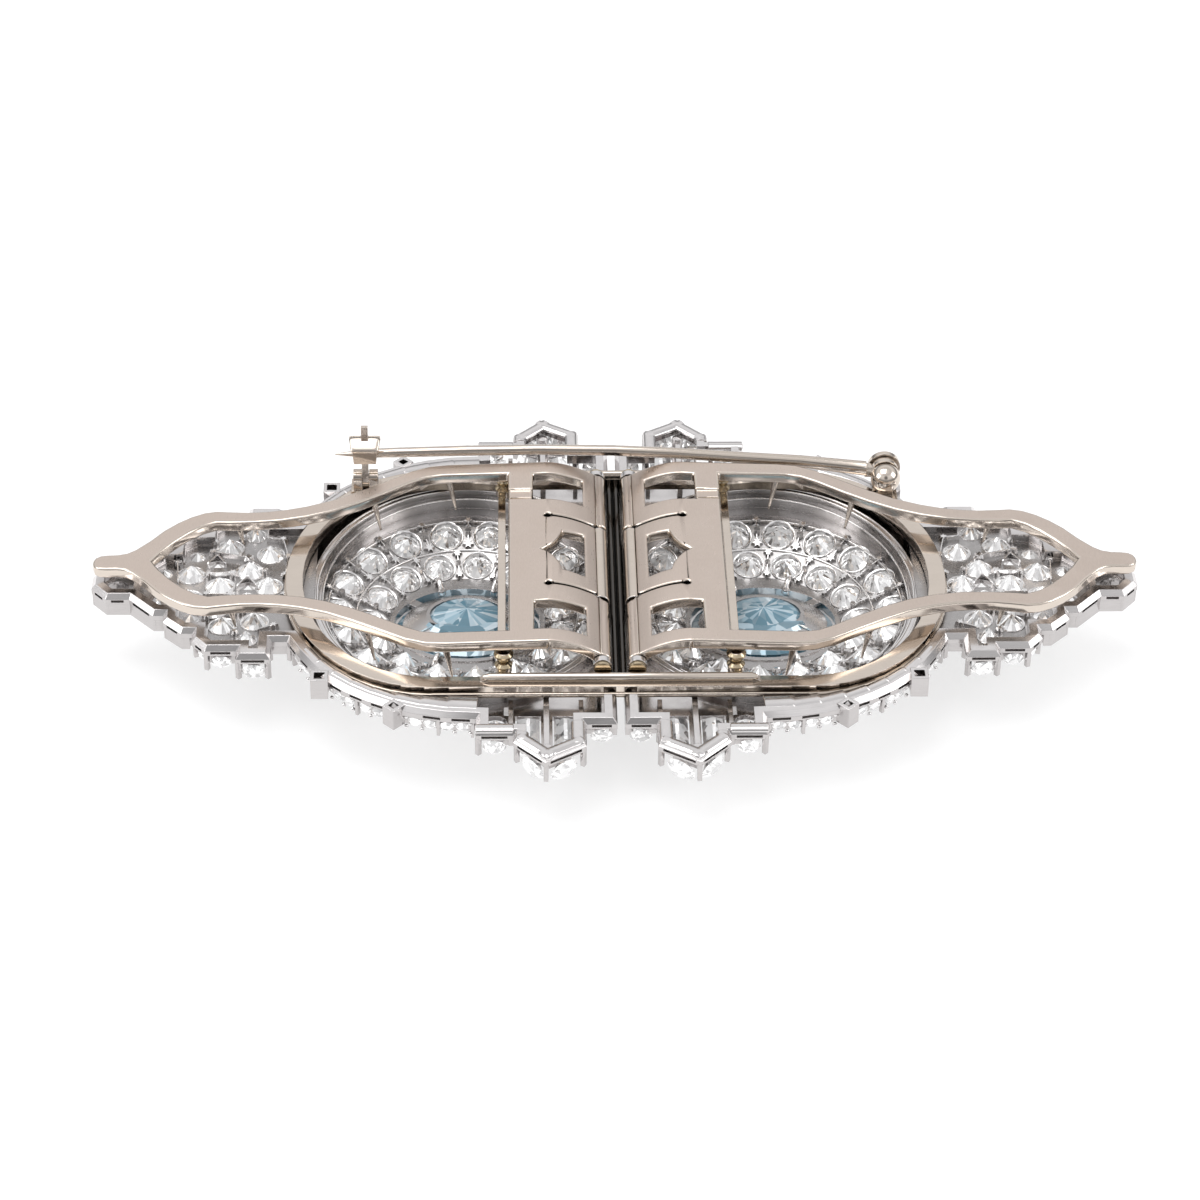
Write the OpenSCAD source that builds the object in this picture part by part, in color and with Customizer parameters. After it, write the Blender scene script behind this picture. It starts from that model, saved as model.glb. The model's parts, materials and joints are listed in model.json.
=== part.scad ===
// A pair of jewelled dress clips joined on an oval brooch frame, lying face down.
// Millimetres, Z up. X runs along the brooch, Y points to the pin's side, Z = 0 is the surface.

/* [Levers] */
// height of the lever plate's top face above the surface
plate_z = 9.8; // [9:0.1:11]
// thickness of a lever
lever_t = 0.9; // [0.7:0.05:1.2]
// half width of the lever plate along the hinge
plate_half = 11.9; // [11:0.1:12]
// fall of the arms towards the nib, in degrees
lever_fall = 2.02; // [0:0.1:4]
// distance of each lever hinge from the middle
hinge_x = 1.3; // [1.1:0.1:1.8]
// radius of the hinge tubes
tube_r = 0.72; // [0.6:0.02:0.9]
// radius of the hinge pins
rod_r = 0.35; // [0.25:0.05:0.45]
// radial clearance round the pins
rod_gap = 0.03; // [0.01:0.01:0.1]

/* [Frame] */
// top of the oval ring
ring_top = 7.4; // [7:0.1:8]
// height of the ring's section
ring_h = 1.0; // [0.8:0.1:1.4]
// width of the ring's section
ring_w = 1.3; // [1:0.1:1.6]
// half length of the ring's straight sides
ring_straight = 14; // [12:0.5:16]
// half length of the ring
ring_a = 25.4; // [24:0.1:27]
// half width of the ring
ring_b = 14.3; // [13:0.1:15]

/* [Pin] */
// how far the pin stands off the middle line
pin_y = 12.65; // [12:0.05:13]
// place of the pin joint along the brooch
joint_x = 21.65; // [20:0.05:22]
// place of the safety catch along the brooch
catch_x = -19.6; // [-21:0.1:-18]

/* [Mounts] */
// top of the mounts' rim
rim_top = 7.05; // [6.8:0.05:7.1]
// width of the rim's top band
rim_w = 0.95; // [0.7:0.05:1.2]
// height of the rim band
rim_h = 0.8; // [0.7:0.05:1.0]
// centre of the large stone and of the bowl round it
bowl_x = 11.5; // [11:0.1:12]

/* [Stones] */
// half length of the large oval stone
aqua_a = 5.6; // [5:0.1:6]
// half width of the large oval stone
aqua_b = 4.5; // [4:0.1:5]
// diameter of the round stones in the outer row of the bowl
stone_a = 2.6; // [2.2:0.1:2.8]
// diameter of the round stones in the inner row of the bowl
stone_b = 2.5; // [2.2:0.1:2.8]
// diameter of the small stones in the rim's side
stone_r = 1.1; // [0.9:0.05:1.2]
// lean of the stones in the rim's side, in degrees from facing down
rim_lean = 70; // [45:1:75]

/* [Hidden] */
$fn = 32;
hinge_z = plate_z - 1.95;
ring_z = ring_top - ring_h;
joint_z = plate_z - 1.05;
pivot_y = 11.9;
pivot_z = plate_z - 1.4;
slope_a = 25;
slope_b = 22;
row_a = 9.9;
row_b = 7.3;
bowl_z = 4.35;
bowl_lip = 11.0;
bowl_bend = 8.6;
bowl_end = 5.6;
seat_gap = 0.06;
rivet_r = 0.25;
floor_z = 4.95;
floor_t = 0.4;
tip_z = 5.95;
tip_t = 0.3;
slot_drop = 0.66;
slot_h = 0.22;

platinum = [0.82, 0.83, 0.86];
gold = [0.80, 0.76, 0.70];
clear = [0.90, 0.94, 0.98];
blue = [0.55, 0.78, 0.90];

// Rim outline of one mount, from the inner end wall to the point: [x, y].
rim = [
    [0.30, 17.9], [2.60, 17.9], [2.60, 20.5], [5.60, 22.4], [7.95, 20.0], [7.95, 19.2],
    [10.70, 19.2], [10.70, 17.2], [12.9, 17.05], [15.0, 16.6], [17.0, 15.9], [18.8, 14.95],
    [20.4, 13.85], [21.9, 12.5], [23.1, 11.0], [24.1, 9.35], [24.95, 7.65],
    [26.15, 7.65], [26.15, 9.85], [28.75, 9.85], [28.75, 8.80], [31.1, 8.80], [32.15, 7.55],
    [32.15, 6.55], [33.05, 6.55], [34.5, 5.1], [34.5, 4.25], [35.35, 4.25], [37.3, 2.15],
    [39.1, 2.15], [40.3, 0.75]];

// Outline of half a lever: outer edge from the hinge to the nib, [x, y].
lever_out = [
    [5.30, 11.9], [8.3, 11.9], [13.0, 11.9], [14.5, 11.75], [16.0, 11.15], [18.0, 9.85],
    [20.0, 8.60], [22.0, 7.50], [24.0, 6.75], [25.5, 6.38], [27.0, 6.17], [28.5, 6.13],
    [30.0, 6.28], [31.0, 6.42], [32.0, 6.25], [33.0, 5.75], [34.0, 5.00], [35.0, 4.00],
    [36.0, 2.65], [37.0, 1.55], [37.6, 1.12], [38.3, 0.95], [39.0, 0.95], [39.6, 0.88],
    [40.0, 0.60], [40.15, 0.20]];
// Inner edge of the arm, from the nib's fork back to the plate, [x, y].
lever_in = [
    [35.65, 0.0], [35.0, 1.15], [34.0, 2.50], [33.0, 3.60], [32.0, 4.40], [31.0, 4.85],
    [30.0, 4.75], [28.0, 4.72], [26.0, 4.85], [24.0, 5.25], [22.0, 5.92], [20.0, 6.92],
    [18.0, 8.15], [16.0, 9.50], [14.8, 10.15], [13.5, 10.38], [8.3, 10.38]];

// Pin stem: [x, y off the pin's line, height below or above the plate's top, radius].
stem = [
    [20.2, -0.45, -0.88, 0.60], [18.6, -0.25, -0.80, 0.57], [15.0, 0, -0.48, 0.50], [10.0, 0, -0.08, 0.46],
    [5.0, 0, 0.33, 0.44], [0.0, 0, 0.60, 0.43], [-6.0, 0, 0.70, 0.42], [-12.0, 0, 0.60, 0.42],
    [-17.0, 0, 0.46, 0.40], [-19.6, 0, 0.38, 0.36], [-21.2, 0, 0.32, 0.17], [-22.0, 0, 0.30, 0.05]];

// Round stones of the tip: [x, y, diameter].
tip_seats = [
    [30.5, 0, 2.3], [26.75, 0, 2.2], [32.8, 1.56, 2.3], [32.8, -1.56, 2.3], [30.0, 5.1, 2.2],
    [30.0, -5.1, 2.2], [26.8, 4.2, 2.2], [27.6, -4.6, 2.2], [28.3, 2.0, 2.2], [28.3, -2.0, 2.2],
    [28.1, 6.8, 1.7], [28.1, -6.9, 1.6], [34.9, 1.75, 1.3], [34.9, -1.75, 1.3],
    [32.5, 4.05, 1.3], [32.5, -4.05, 1.3]];
// Piercings between them: [x, y, radius].
tip_holes = [[28.4, 0, 0.65], [30.9, 2.9, 0.6], [30.9, -2.9, 0.6], [28.6, 4.1, 0.35], [34.5, 0, 0.4]];

// Stones set in the rim's side, facing outwards: [side of the rim outline, diameter].
motif_sides = [[0, 1.7], [2, 2.3], [3, 2.2], [5, 1.75]];
tip_sides = [[18, 1.8], [20, 1.55], [21, 0.9]];
// The oval band's side: distances along it of its stones and of the ribs between them.
band_spots = [0.98, 2.18, 3.46, 4.66, 7.65, 8.87, 10.15, 11.37, 14.45, 15.65, 16.85];
band_ribs = [0.25, 2.82, 9.51, 17.6];

// Stones behind the rim at the motif: [x, y, diameter].
bracket_stones = [[9.3, 16.1, 1.7], [1.8, 15.9, 1.5]];

// Helpers.

function rev(p) = [for (i = [len(p) - 1:-1:0]) p[i]];
function flip(p) = [for (q = p) [q[0], -q[1]]];
function both(p) = concat(p, rev(flip(p)));
function unit(v) = v / norm(v);
function nrm(a, b) = let (t = unit(b - a)) [t[1], -t[0]];
// A closed outline moved inwards by d, with mitred corners.
function inset(p, d) = let (n = len(p)) [for (i = [0:n - 1])
    let (a = nrm(p[(i + n - 1) % n], p[i]), b = nrm(p[i], p[(i + 1) % n]))
    p[i] + d * (a + b) / (1 + a * b)];
// The inward corner direction at point i.
function mitre(p, i) = let (n = len(p), a = nrm(p[(i + n - 1) % n], p[i]),
    b = nrm(p[i], p[(i + 1) % n])) (a + b) / (1 + a * b);
function oval(cx, a, b, n) = [for (i = [0:n - 1]) [cx + a * cos(360 * i / n), b * sin(360 * i / n)]];
// Half ellipse ends joined by straight sides.
function stadium(s, a, b, n) = concat(
    [for (i = [0:n]) let (t = 90 - 180 * i / n) [s + (a - s) * cos(t), b * sin(t)]],
    [for (i = [0:n]) let (t = -90 - 180 * i / n) [-s + (a - s) * cos(t), b * sin(t)]]);
// Point at distance d along an open line, and the line's direction there.
function run(p, i = 0, d = 0) = i >= len(p) - 1 ? d : run(p, i + 1, d + norm(p[i + 1] - p[i]));
function at(p, d, i = 0) = let (l = norm(p[i + 1] - p[i]))
    d <= l || i >= len(p) - 2 ? [p[i] + (p[i + 1] - p[i]) * d / l, unit(p[i + 1] - p[i])]
    : at(p, d - l, i + 1);

outline = both(rim);
band = [for (i = [7:16]) rim[i]];

// Faces that join rings of n points: all rings, both ends closed.
function ring_faces(rings, n) = concat(
    [for (k = [0:rings - 2], i = [0:n - 1]) each [
        [k * n + i, k * n + (i + 1) % n, (k + 1) * n + i],
        [k * n + (i + 1) % n, (k + 1) * n + (i + 1) % n, (k + 1) * n + i]]]);

// Round or oval brilliant, girdle in the plane Z = 0, table down, half sizes a and b.
function cut_points(a, b, crown, depth) = concat(
    [for (k = [0:7]) let (w = 45 * k + 22.5) [a * 0.56 * cos(w), b * 0.56 * sin(w), -crown]],
    [for (k = [0:7]) let (w = 45 * k) [a * 0.78 * cos(w), b * 0.78 * sin(w), -crown * 0.62]],
    [for (k = [0:15]) let (w = 22.5 * k) [a * cos(w), b * sin(w), 0]],
    [for (k = [0:7]) let (w = 45 * k) [a * 0.30 * cos(w), b * 0.30 * sin(w), depth * 0.76]],
    [[0, 0, depth]]);
cut_faces = concat(
    [for (k = [1:6]) [0, k + 1, k]],
    [for (k = [0:7]) [k, (k + 1) % 8, 8 + (k + 1) % 8]],
    [for (k = [0:7]) each [
        [k, 8 + (k + 1) % 8, 16 + 2 * k + 1], [k, 16 + 2 * k + 1, 8 + k],
        [8 + k, 16 + 2 * k + 1, 16 + 2 * k], [8 + k, 16 + 2 * k, 16 + (2 * k + 15) % 16],
        [32 + k, 16 + 2 * k, 16 + 2 * k + 1],
        [32 + k, 16 + 2 * k + 1, 32 + (k + 1) % 8],
        [32 + (k + 1) % 8, 16 + 2 * k + 1, 16 + (2 * k + 2) % 16],
        [32 + k, 32 + (k + 1) % 8, 40]]]);

module cut_stone(a, b, crown, depth) {
    polyhedron(cut_points(a, b, crown, depth), [for (f = cut_faces) rev(f)]);
}

// Eight-sided small stone of diameter d.
module small_stone(d) {
    r = d / 2;
    polyhedron(concat(
        [for (k = [0:7]) [r * 0.58 * cos(45 * k), r * 0.58 * sin(45 * k), -d * 0.15]],
        [for (k = [0:7]) [r * cos(45 * k), r * sin(45 * k), 0]], [[0, 0, d * 0.36]]),
        concat([for (k = [1:6]) [0, k, k + 1]],
        [for (k = [0:7]) each [[k, 8 + (k + 1) % 8, (k + 1) % 8], [k, 8 + k, 8 + (k + 1) % 8],
            [8 + k, 16, 8 + (k + 1) % 8]]]));
}

// Step-cut long stone: length l along Y, width w, table down.
module long_stone(l, w) {
    z = [-0.38, 0, 0.12, 0.85];
    k = [0.62, 1, 1, 0.16];
    polyhedron([for (i = [0:3], c = [[-1, -1], [1, -1], [1, 1], [-1, 1]])
        [c[0] * w / 2 * k[i], c[1] * (l / 2 - w / 2 * (1 - k[i])), z[i]]],
        concat([[0, 1, 2], [0, 2, 3]], [for (f = ring_faces(4, 4)) rev(f)], [[12, 14, 13], [12, 15, 14]]));
}

// Child moved to p and leaned outwards by t, in the direction d seen from above.
module seat(p, d, t) {
    translate(p) rotate([0, 0, d]) rotate([0, -t, 0]) children();
}

module flat(p, z0, z1) { translate([0, 0, z0]) linear_extrude(z1 - z0) polygon(p); }

// Closed wall between two outlines.
module wall(outer, inner, z0, z1) {
    difference() { flat(outer, z0, z1); flat(inner, z0 - 1, z1 + 1); }
}

// Mounts.

// The rim band: flat top, outer edge bevelled.
module rim_band() {
    n = len(outline);
    z0 = rim_top - rim_h;
    pts = concat(
        [for (q = outline) [q[0], q[1], z0]],
        [for (q = outline) [q[0], q[1], rim_top - 0.38]],
        [for (q = inset(outline, 0.34)) [q[0], q[1], rim_top]],
        [for (q = inset(outline, rim_w)) [q[0], q[1], rim_top]],
        [for (q = inset(outline, rim_w)) [q[0], q[1], z0]]);
    polyhedron(pts, [for (k = [0:4], i = [0:n - 1]) each [
        [k * n + i, k * n + (i + 1) % n, ((k + 1) % 5) * n + i],
        [k * n + (i + 1) % n, ((k + 1) % 5) * n + (i + 1) % n, ((k + 1) % 5) * n + i]]]);
}

// Post under the rim at p, turned along m, shorter round the point.
module post(p, m, w = 0.34) {
    z = p[0] > 32 ? 5.25 : 4.85;
    translate([p[0], p[1], 0]) rotate([0, 0, atan2(m[1], m[0])])
        translate([0.1, -w / 2, z]) cube([0.34, w, rim_top - 0.7 - z]);
}

// Point of the oval band at distance d, with the inward direction there.
function band_at(d) = let (q = at(band, d)) [q[0], [q[1][1], -q[1][0]]];
// Middle of a side of the rim outline, with its inward direction.
function side_at(i) = [(rim[i] + rim[i + 1]) / 2, nrm(rim[i], rim[i + 1])];

// Stone of diameter d in the rim's side at q, on the side s of the middle line.
module side_stone(q, d, s) {
    c = q[0] + 0.3 * q[1];
    seat([c[0], s * c[1], rim_top - rim_h - 0.06 - d / 2 * sin(rim_lean)],
        s * atan2(-q[1][1], -q[1][0]), rim_lean) {
        if (d > 1.5) cut_stone(d / 2, d / 2, d * 0.15, d * 0.32);
        else small_stone(d);
    }
}

// Box collet let into the band, turned by a.
module box_collet(x, y, a, s, h) {
    translate([x, y, 0]) rotate([0, 0, a]) difference() {
        translate([-s / 2, -s / 2, 5.4]) cube([s, s, rim_top + 0.06 - 5.4]);
        translate([-h / 2, -h / 2, 6.0]) cube([h, h, 3]);
    }
}

// Floor between the rim and the bowl's wall, pierced for the stones of the motif.
module floor_plate() {
    difference() {
        flat(inset(outline, 1.1), floor_z, floor_z + floor_t);
        flat(oval(bowl_x, 11.7, 13.6, 72), 4, 6);
        translate([24.3, -12, 4]) cube([17, 24, 2]);
        for (s = [-1, 1]) {
            for (q = bracket_stones)
                translate([q[0], s * q[1], 4]) cylinder(d = q[2] + 0.2, h = 2, $fn = 12);
            // long stones of the pointed motif
            for (x = [4.10, 6.85]) translate([x, s * 17.3, 5]) cube([1.9, 4.1, 2], center = true);
            translate([8.3, s * 14.6, 5]) cube([0.7, 1.0, 2], center = true);
        }
    }
}

// Raised floor of the tip, with a seat for each stone.
module tip_plate() {
    difference() {
        flat(inset(outline, 1.1), tip_z, tip_z + tip_t);
        flat(oval(bowl_x, 11.7, 13.6, 72), 5, 7);
        translate([-1, -25, 5]) cube([24.2, 50, 2]);
        for (q = tip_seats) translate([q[0], q[1], 5]) cylinder(d = q[2] + seat_gap, h = 2, $fn = 12);
        for (q = tip_holes)
            translate([q[0], q[1], 5]) rotate([0, 0, 90]) cylinder(r = q[2], h = 2, $fn = 3);
        translate([38.35, 0, 5]) cylinder(r = 0.85, h = 2, $fn = 12);
    }
}

// Gallery wall under the rim, behind the stones of its side; the pointed motif is open.
module gallery() {
    difference() {
        wall(inset(outline, 0.86), inset(outline, 1.1), 4.9, 6.36);
        flat(oval(bowl_x, 11.65, 13.55, 72), 4, 7);
        for (s = [-1, 1]) translate([-1, s > 0 ? 14.2 : -25, 4]) cube([11.6, 10.8, 4]);
    }
}

// Plain wall under the rim round the point.
module point_wall() {
    difference() {
        wall(inset(outline, 0.04), inset(outline, 0.5), 5.2, 6.33);
        translate([-1, -25, 5]) cube([33.4, 50, 2]);
    }
}

// Pierced bowl round the large stone: walls, ledge and two sloping bands with a seat for each stone.
module bowl() {
    za = bowl_z;
    zb = za - (bowl_lip - bowl_bend) * tan(slope_a);
    zc = zb - (bowl_bend - bowl_end) * tan(slope_b);
    t = 0.35;
    difference() {
        union() {
            wall(oval(bowl_x, 12.0, 13.9, 72), oval(bowl_x, 11.5, 13.4, 72), 4.1, 6.1);
            wall(oval(bowl_x, 11.6, 13.5, 72), oval(bowl_x, 11.1, 13.0, 72), 4.15, 5.5);
            wall(oval(bowl_x, 11.8, 13.7, 72), oval(bowl_x, 10.6, 10.6, 72), za - 0.2, za + 0.3);
            translate([bowl_x, 0, 0]) rotate_extrude($fn = 72)
                polygon([[bowl_lip, za], [bowl_bend, zb], [bowl_end, zc],
                    [bowl_end, zc + t], [bowl_bend, zb + t], [bowl_lip, za + t]]);
        }
        for (k = [0:17]) seat_a(k) translate([0, 0, -1]) cylinder(d = stone_a + seat_gap, h = 4);
        for (k = [0:14]) seat_b(k) translate([0, 0, -1]) cylinder(d = stone_b + seat_gap, h = 4);
        // piercings between the rows
        for (k = [0:17]) let (w = 20 * k + 10)
            translate([bowl_x + 10.75 * cos(w), 10.75 * sin(w), 1]) rotate([0, 0, w])
                cylinder(r = 0.42, h = 6, $fn = 3);
        // room for the large stone's collet
        flat(oval(bowl_x, 5.9, 4.8, 48), 0, 6);
        // clear of the other mount
        translate([-2, -20, 0]) cube([2.3, 40, 8]);
    }
}

module seat_a(k) {
    w = 20 * k;
    z = bowl_z - (bowl_lip - row_a) * tan(slope_a) + 0.1;
    seat([bowl_x + row_a * cos(w), row_a * sin(w), z], w, slope_a) children();
}
module seat_b(k) {
    w = 24 * k;
    z = bowl_z - (bowl_lip - bowl_bend) * tan(slope_a) - (bowl_bend - row_b) * tan(slope_b) + 0.1;
    seat([bowl_x + row_b * cos(w), row_b * sin(w), z], w, slope_b) children();
}

// Collet of the large stone: oval wall, and a cone that rises round the stone's back, open in the middle.
module big_collet() {
    cone = [[5.0, 3.85, 2.4], [5.05, 3.9, 2.65], [3.2, 2.4, 3.65], [2.9, 2.1, 3.65], [3.0, 2.2, 3.35]];
    n = 24;
    wall(oval(bowl_x, 6.06, 4.98, 48), oval(bowl_x, 5.68, 4.58, 48), 1.35, 2.75);
    polyhedron([for (r = cone, q = oval(bowl_x, r[0], r[1], n)) [q[0], q[1], r[2]]],
        [for (k = [0:4], i = [0:n - 1]) each [
            [k * n + i, ((k + 1) % 5) * n + i, k * n + (i + 1) % n],
            [k * n + (i + 1) % n, ((k + 1) % 5) * n + i, ((k + 1) % 5) * n + (i + 1) % n]]]);
    for (w = [-40, 40, 140, 220]) {
        // tie between the wall and the cone
        translate([bowl_x, 0, 2.36]) rotate([0, 0, atan2(aqua_b * sin(w), aqua_a * cos(w))])
            translate([4.42, -0.35, 0]) cube([1.1, 0.7, 0.3]);
        // claw
        difference() {
            translate([bowl_x + 5.75 * cos(w), 4.68 * sin(w), 0.95]) cylinder(r = 0.5, h = 1.6);
            flat(oval(bowl_x, 5.66, 4.56, 48), 0, 3);
        }
    }
    // ties to the bowl at the sides, where the bowl is wider than the oval
    difference() {
        translate([bowl_x, 0, 2.15]) cylinder(r = 6.05, h = 0.5, $fn = 48);
        flat(oval(bowl_x, 5.9, 4.8, 48), 0, 6);
        for (k = [0:14]) seat_b(k) translate([0, 0, -1]) cylinder(d = stone_b + seat_gap, h = 4);
    }
}

// Beads that hold the stones, front and back.
module beads() {
    for (k = [0:17]) let (w = 20 * k + 10, r = 9.9)
        translate([bowl_x + r * cos(w), r * sin(w), 3.2]) cylinder(r = 0.26, h = 1.5, $fn = 8);
    for (k = [0:14]) let (w = 24 * k + 12, r = 7.25)
        translate([bowl_x + r * cos(w), r * sin(w), 2.0]) cylinder(r = 0.2, h = 1.5, $fn = 8);
}

module mount() {
    difference() {
        rim_band();
        // the frame's straight sides pass over the inner end
        translate([-1, -14.75, 6]) cube([2.6, 29.5, 2]);
        // slots in the band's side
        for (i = [0:len(rim) - 2], s = [-1, 1]) let (q = side_at(i), l = norm(rim[i + 1] - rim[i]))
            if (l > 1.5 && i != 9 && i != 13) translate([q[0][0], s * q[0][1], rim_top - slot_drop])
                rotate([0, 0, s * atan2(-q[1][0], q[1][1])])
                    translate([0.42 - l / 2, -0.4, 0]) cube([l - 0.84, 0.8, slot_h]);
    }
    floor_plate();
    tip_plate();
    gallery();
    point_wall();
    for (i = [1:len(rim) - 1], s = [-1, 1]) if (i != 5 && (i < 8 || i > 15))
        let (m = mitre(outline, i)) post([rim[i][0], s * rim[i][1]], [m[0], s * m[1]]);
    for (d = band_ribs, s = [-1, 1]) let (q = band_at(d))
        post([q[0][0], s * q[0][1]], [q[1][0], s * q[1][1]], 0.24);
    for (s = [-1, 1]) {
        box_collet(22.35, s * 12.4, 0, 1.3, 0.78);
        box_collet(16.75, s * 16.05, 45, 1.15, 0.6);
        // middle strut of the pointed motif
        translate([5.3, s > 0 ? 14.0 : -20.9, 5.0]) cube([0.42, 6.9, 1.3]);
        translate([5.51, s * 20.35, 5.0]) cylinder(r = 0.42, h = 1.5, $fn = 12);
        // bars beside the long stones
        translate([2.75, s > 0 ? 14.0 : -18.2, 4.95]) cube([0.35, 4.2, 1.0]);
        translate([7.95, s > 0 ? 14.0 : -18.2, 4.95]) cube([0.35, 4.2, 1.0]);
        translate([0.3, s > 0 ? 14.9 : -16.9, 4.9]) cube([0.6, 2.0, 1.5]);
    }
    // wall between the point's collet and the tip
    translate([36.5, -1.5, 4.95]) cube([0.55, 3.0, rim_top - 0.1 - 4.95]);
    bowl();
    big_collet();
    beads();
    // inner end wall
    translate([0.3, -15.2, 4.6]) cube([0.6, 30.4, 1.5]);
    // hinge lugs: one in the middle, one at each end
    difference() {
        union() for (q = [[-4.55, 4.55], [-12.55, -12.02], [12.02, 12.55]]) {
            translate([hinge_x, q[0], hinge_z]) rotate([-90, 0, 0]) cylinder(r = tube_r, h = q[1] - q[0]);
            translate([0.62, q[0], 5.2]) cube([1.1, q[1] - q[0], hinge_z - 5.2]);
        }
        translate([hinge_x, -14, hinge_z]) rotate([-90, 0, 0]) cylinder(r = rod_r + rod_gap, h = 28);
    }
}

// Stones.

module aquamarine() {
    translate([bowl_x, 0, 1.95]) cut_stone(aqua_a, aqua_b, 1.95, 2.2);
}

module bowl_stones() {
    for (k = [0:17]) seat_a(k) cut_stone(stone_a / 2, stone_a / 2, 0.42, 1.12);
    for (k = [0:14]) seat_b(k) cut_stone(stone_b / 2, stone_b / 2, 0.40, 1.08);
}

module tip_stones() {
    for (q = tip_seats) translate([q[0], q[1], tip_z + tip_t - 0.05]) {
        if (q[2] > 1.5) cut_stone(q[2] / 2, q[2] / 2, 0.37, 1.0);
        else small_stone(q[2]);
    }
    translate([38.35, 0, 4.9]) cut_stone(0.78, 0.78, 0.26, 0.7);
    for (q = tip_sides, s = [-1, 1]) side_stone(side_at(q[0]), q[1], s);
}

module rim_stones() {
    for (d = band_spots, s = [-1, 1]) side_stone(band_at(d), stone_r, s);
    for (q = motif_sides, s = [-1, 1]) side_stone(side_at(q[0]), q[1], s);
    for (q = bracket_stones, s = [-1, 1])
        translate([q[0], s * q[1], 4.85]) cut_stone(q[2] / 2, q[2] / 2, 0.3, 0.8);
    for (x = [4.10, 6.85], s = [-1, 1]) translate([x, s * 17.3, 5.0]) long_stone(3.9, 1.7);
}

// Levers.

// Rolled edge of the plate towards the hinge: height of its top face.
function roll(x) = plate_z + 0.106 - 1.34 * pow(max(0, (5.3 - x) / 4), 1.8);

module lever_blank() {
    // plate and arms, falling slightly towards the nib
    translate([8.3, 0, plate_z]) rotate([0, lever_fall, 0]) translate([-8.3, 0, -lever_t])
        linear_extrude(lever_t) difference() {
            polygon(both(lever_out));
            polygon(concat(lever_in, rev(flip(lever_in))));
        }
    // rolled part
    rotate([90, 0, 0]) translate([0, 0, -plate_half]) linear_extrude(2 * plate_half) polygon(concat(
        [for (i = [0:10]) let (x = 5.35 - i * 0.4) [x, roll(x)]],
        [[0.95, hinge_z], [1.6, hinge_z - 0.2]],
        [for (i = [7:-1:0]) let (x = 5.35 - i * 0.4) [x, roll(x) - lever_t + 0.015]]));
    for (s = [-1, 1]) translate([hinge_x, s > 0 ? 4.9 : -plate_half, hinge_z]) rotate([-90, 0, 0])
        cylinder(r = tube_r, h = plate_half - 4.9);
}

module lever() {
    difference() {
        lever_blank();
        // bore for the hinge pin, room for the middle lug
        translate([hinge_x, -14, hinge_z]) rotate([-90, 0, 0]) cylinder(r = rod_r + rod_gap, h = 28);
        translate([hinge_x, -4.75, hinge_z]) rotate([-90, 0, 0]) cylinder(r = tube_r + 0.12, h = 9.5);
        translate([-1, -4.75, 5]) cube([hinge_x + 1.35, 9.5, hinge_z - 5 + 0.3]);
        // square openings
        for (s = [-1, 1]) translate([2.45, s * 8.5 - 1.75, 5]) cube([3.9, 3.5, 6]);
        // arrow opening
        translate([0, 0, 5]) linear_extrude(6) polygon([
            [5.75, 0], [5.2, 0.42], [4.75, 0.95], [4.4, 1.6], [4.15, 2.5], [2.45, 2.7],
            [2.45, -2.7], [4.15, -2.5], [4.4, -1.6], [4.75, -0.95], [5.2, -0.42]]);
        // spring slits with drilled ends
        for (s = [-1, 1]) {
            translate([5.25, s * 4.5, 5]) cylinder(r = 0.25, h = 6);
            translate([0, s * 4.5 - 0.09, 5]) cube([5.25, 0.18, 6]);
        }
        // step beside the far opening
        translate([5.9, 6.9, plate_z - 0.12]) cube([6, 1.2, 1]);
    }
    // teeth under the arms: [x, y, length]
    for (q = [[13.0, 11.1, 3.0], [18.9, 8.55, 3.0], [29.3, 5.45, 1.75]], s = [-1, 1])
        let (under = plate_z - (q[0] - 8.3) * tan(lever_fall) - lever_t + 0.1)
            translate([q[0], s * q[1], under]) rotate([0, 10, 0])
                translate([0, 0, -q[2]]) cylinder(r1 = 0.08, r2 = 0.3, h = q[2], $fn = 16);
}

module hinge_pin() {
    translate([hinge_x, -12.6, hinge_z]) rotate([-90, 0, 0]) cylinder(r = rod_r, h = 25.2);
    for (s = [-1, 1]) translate([hinge_x, s > 0 ? 12.58 : -12.85, hinge_z])
        rotate([-90, 0, 0]) cylinder(r = 0.62, h = 0.27);
}

// Brooch frame.

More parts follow.
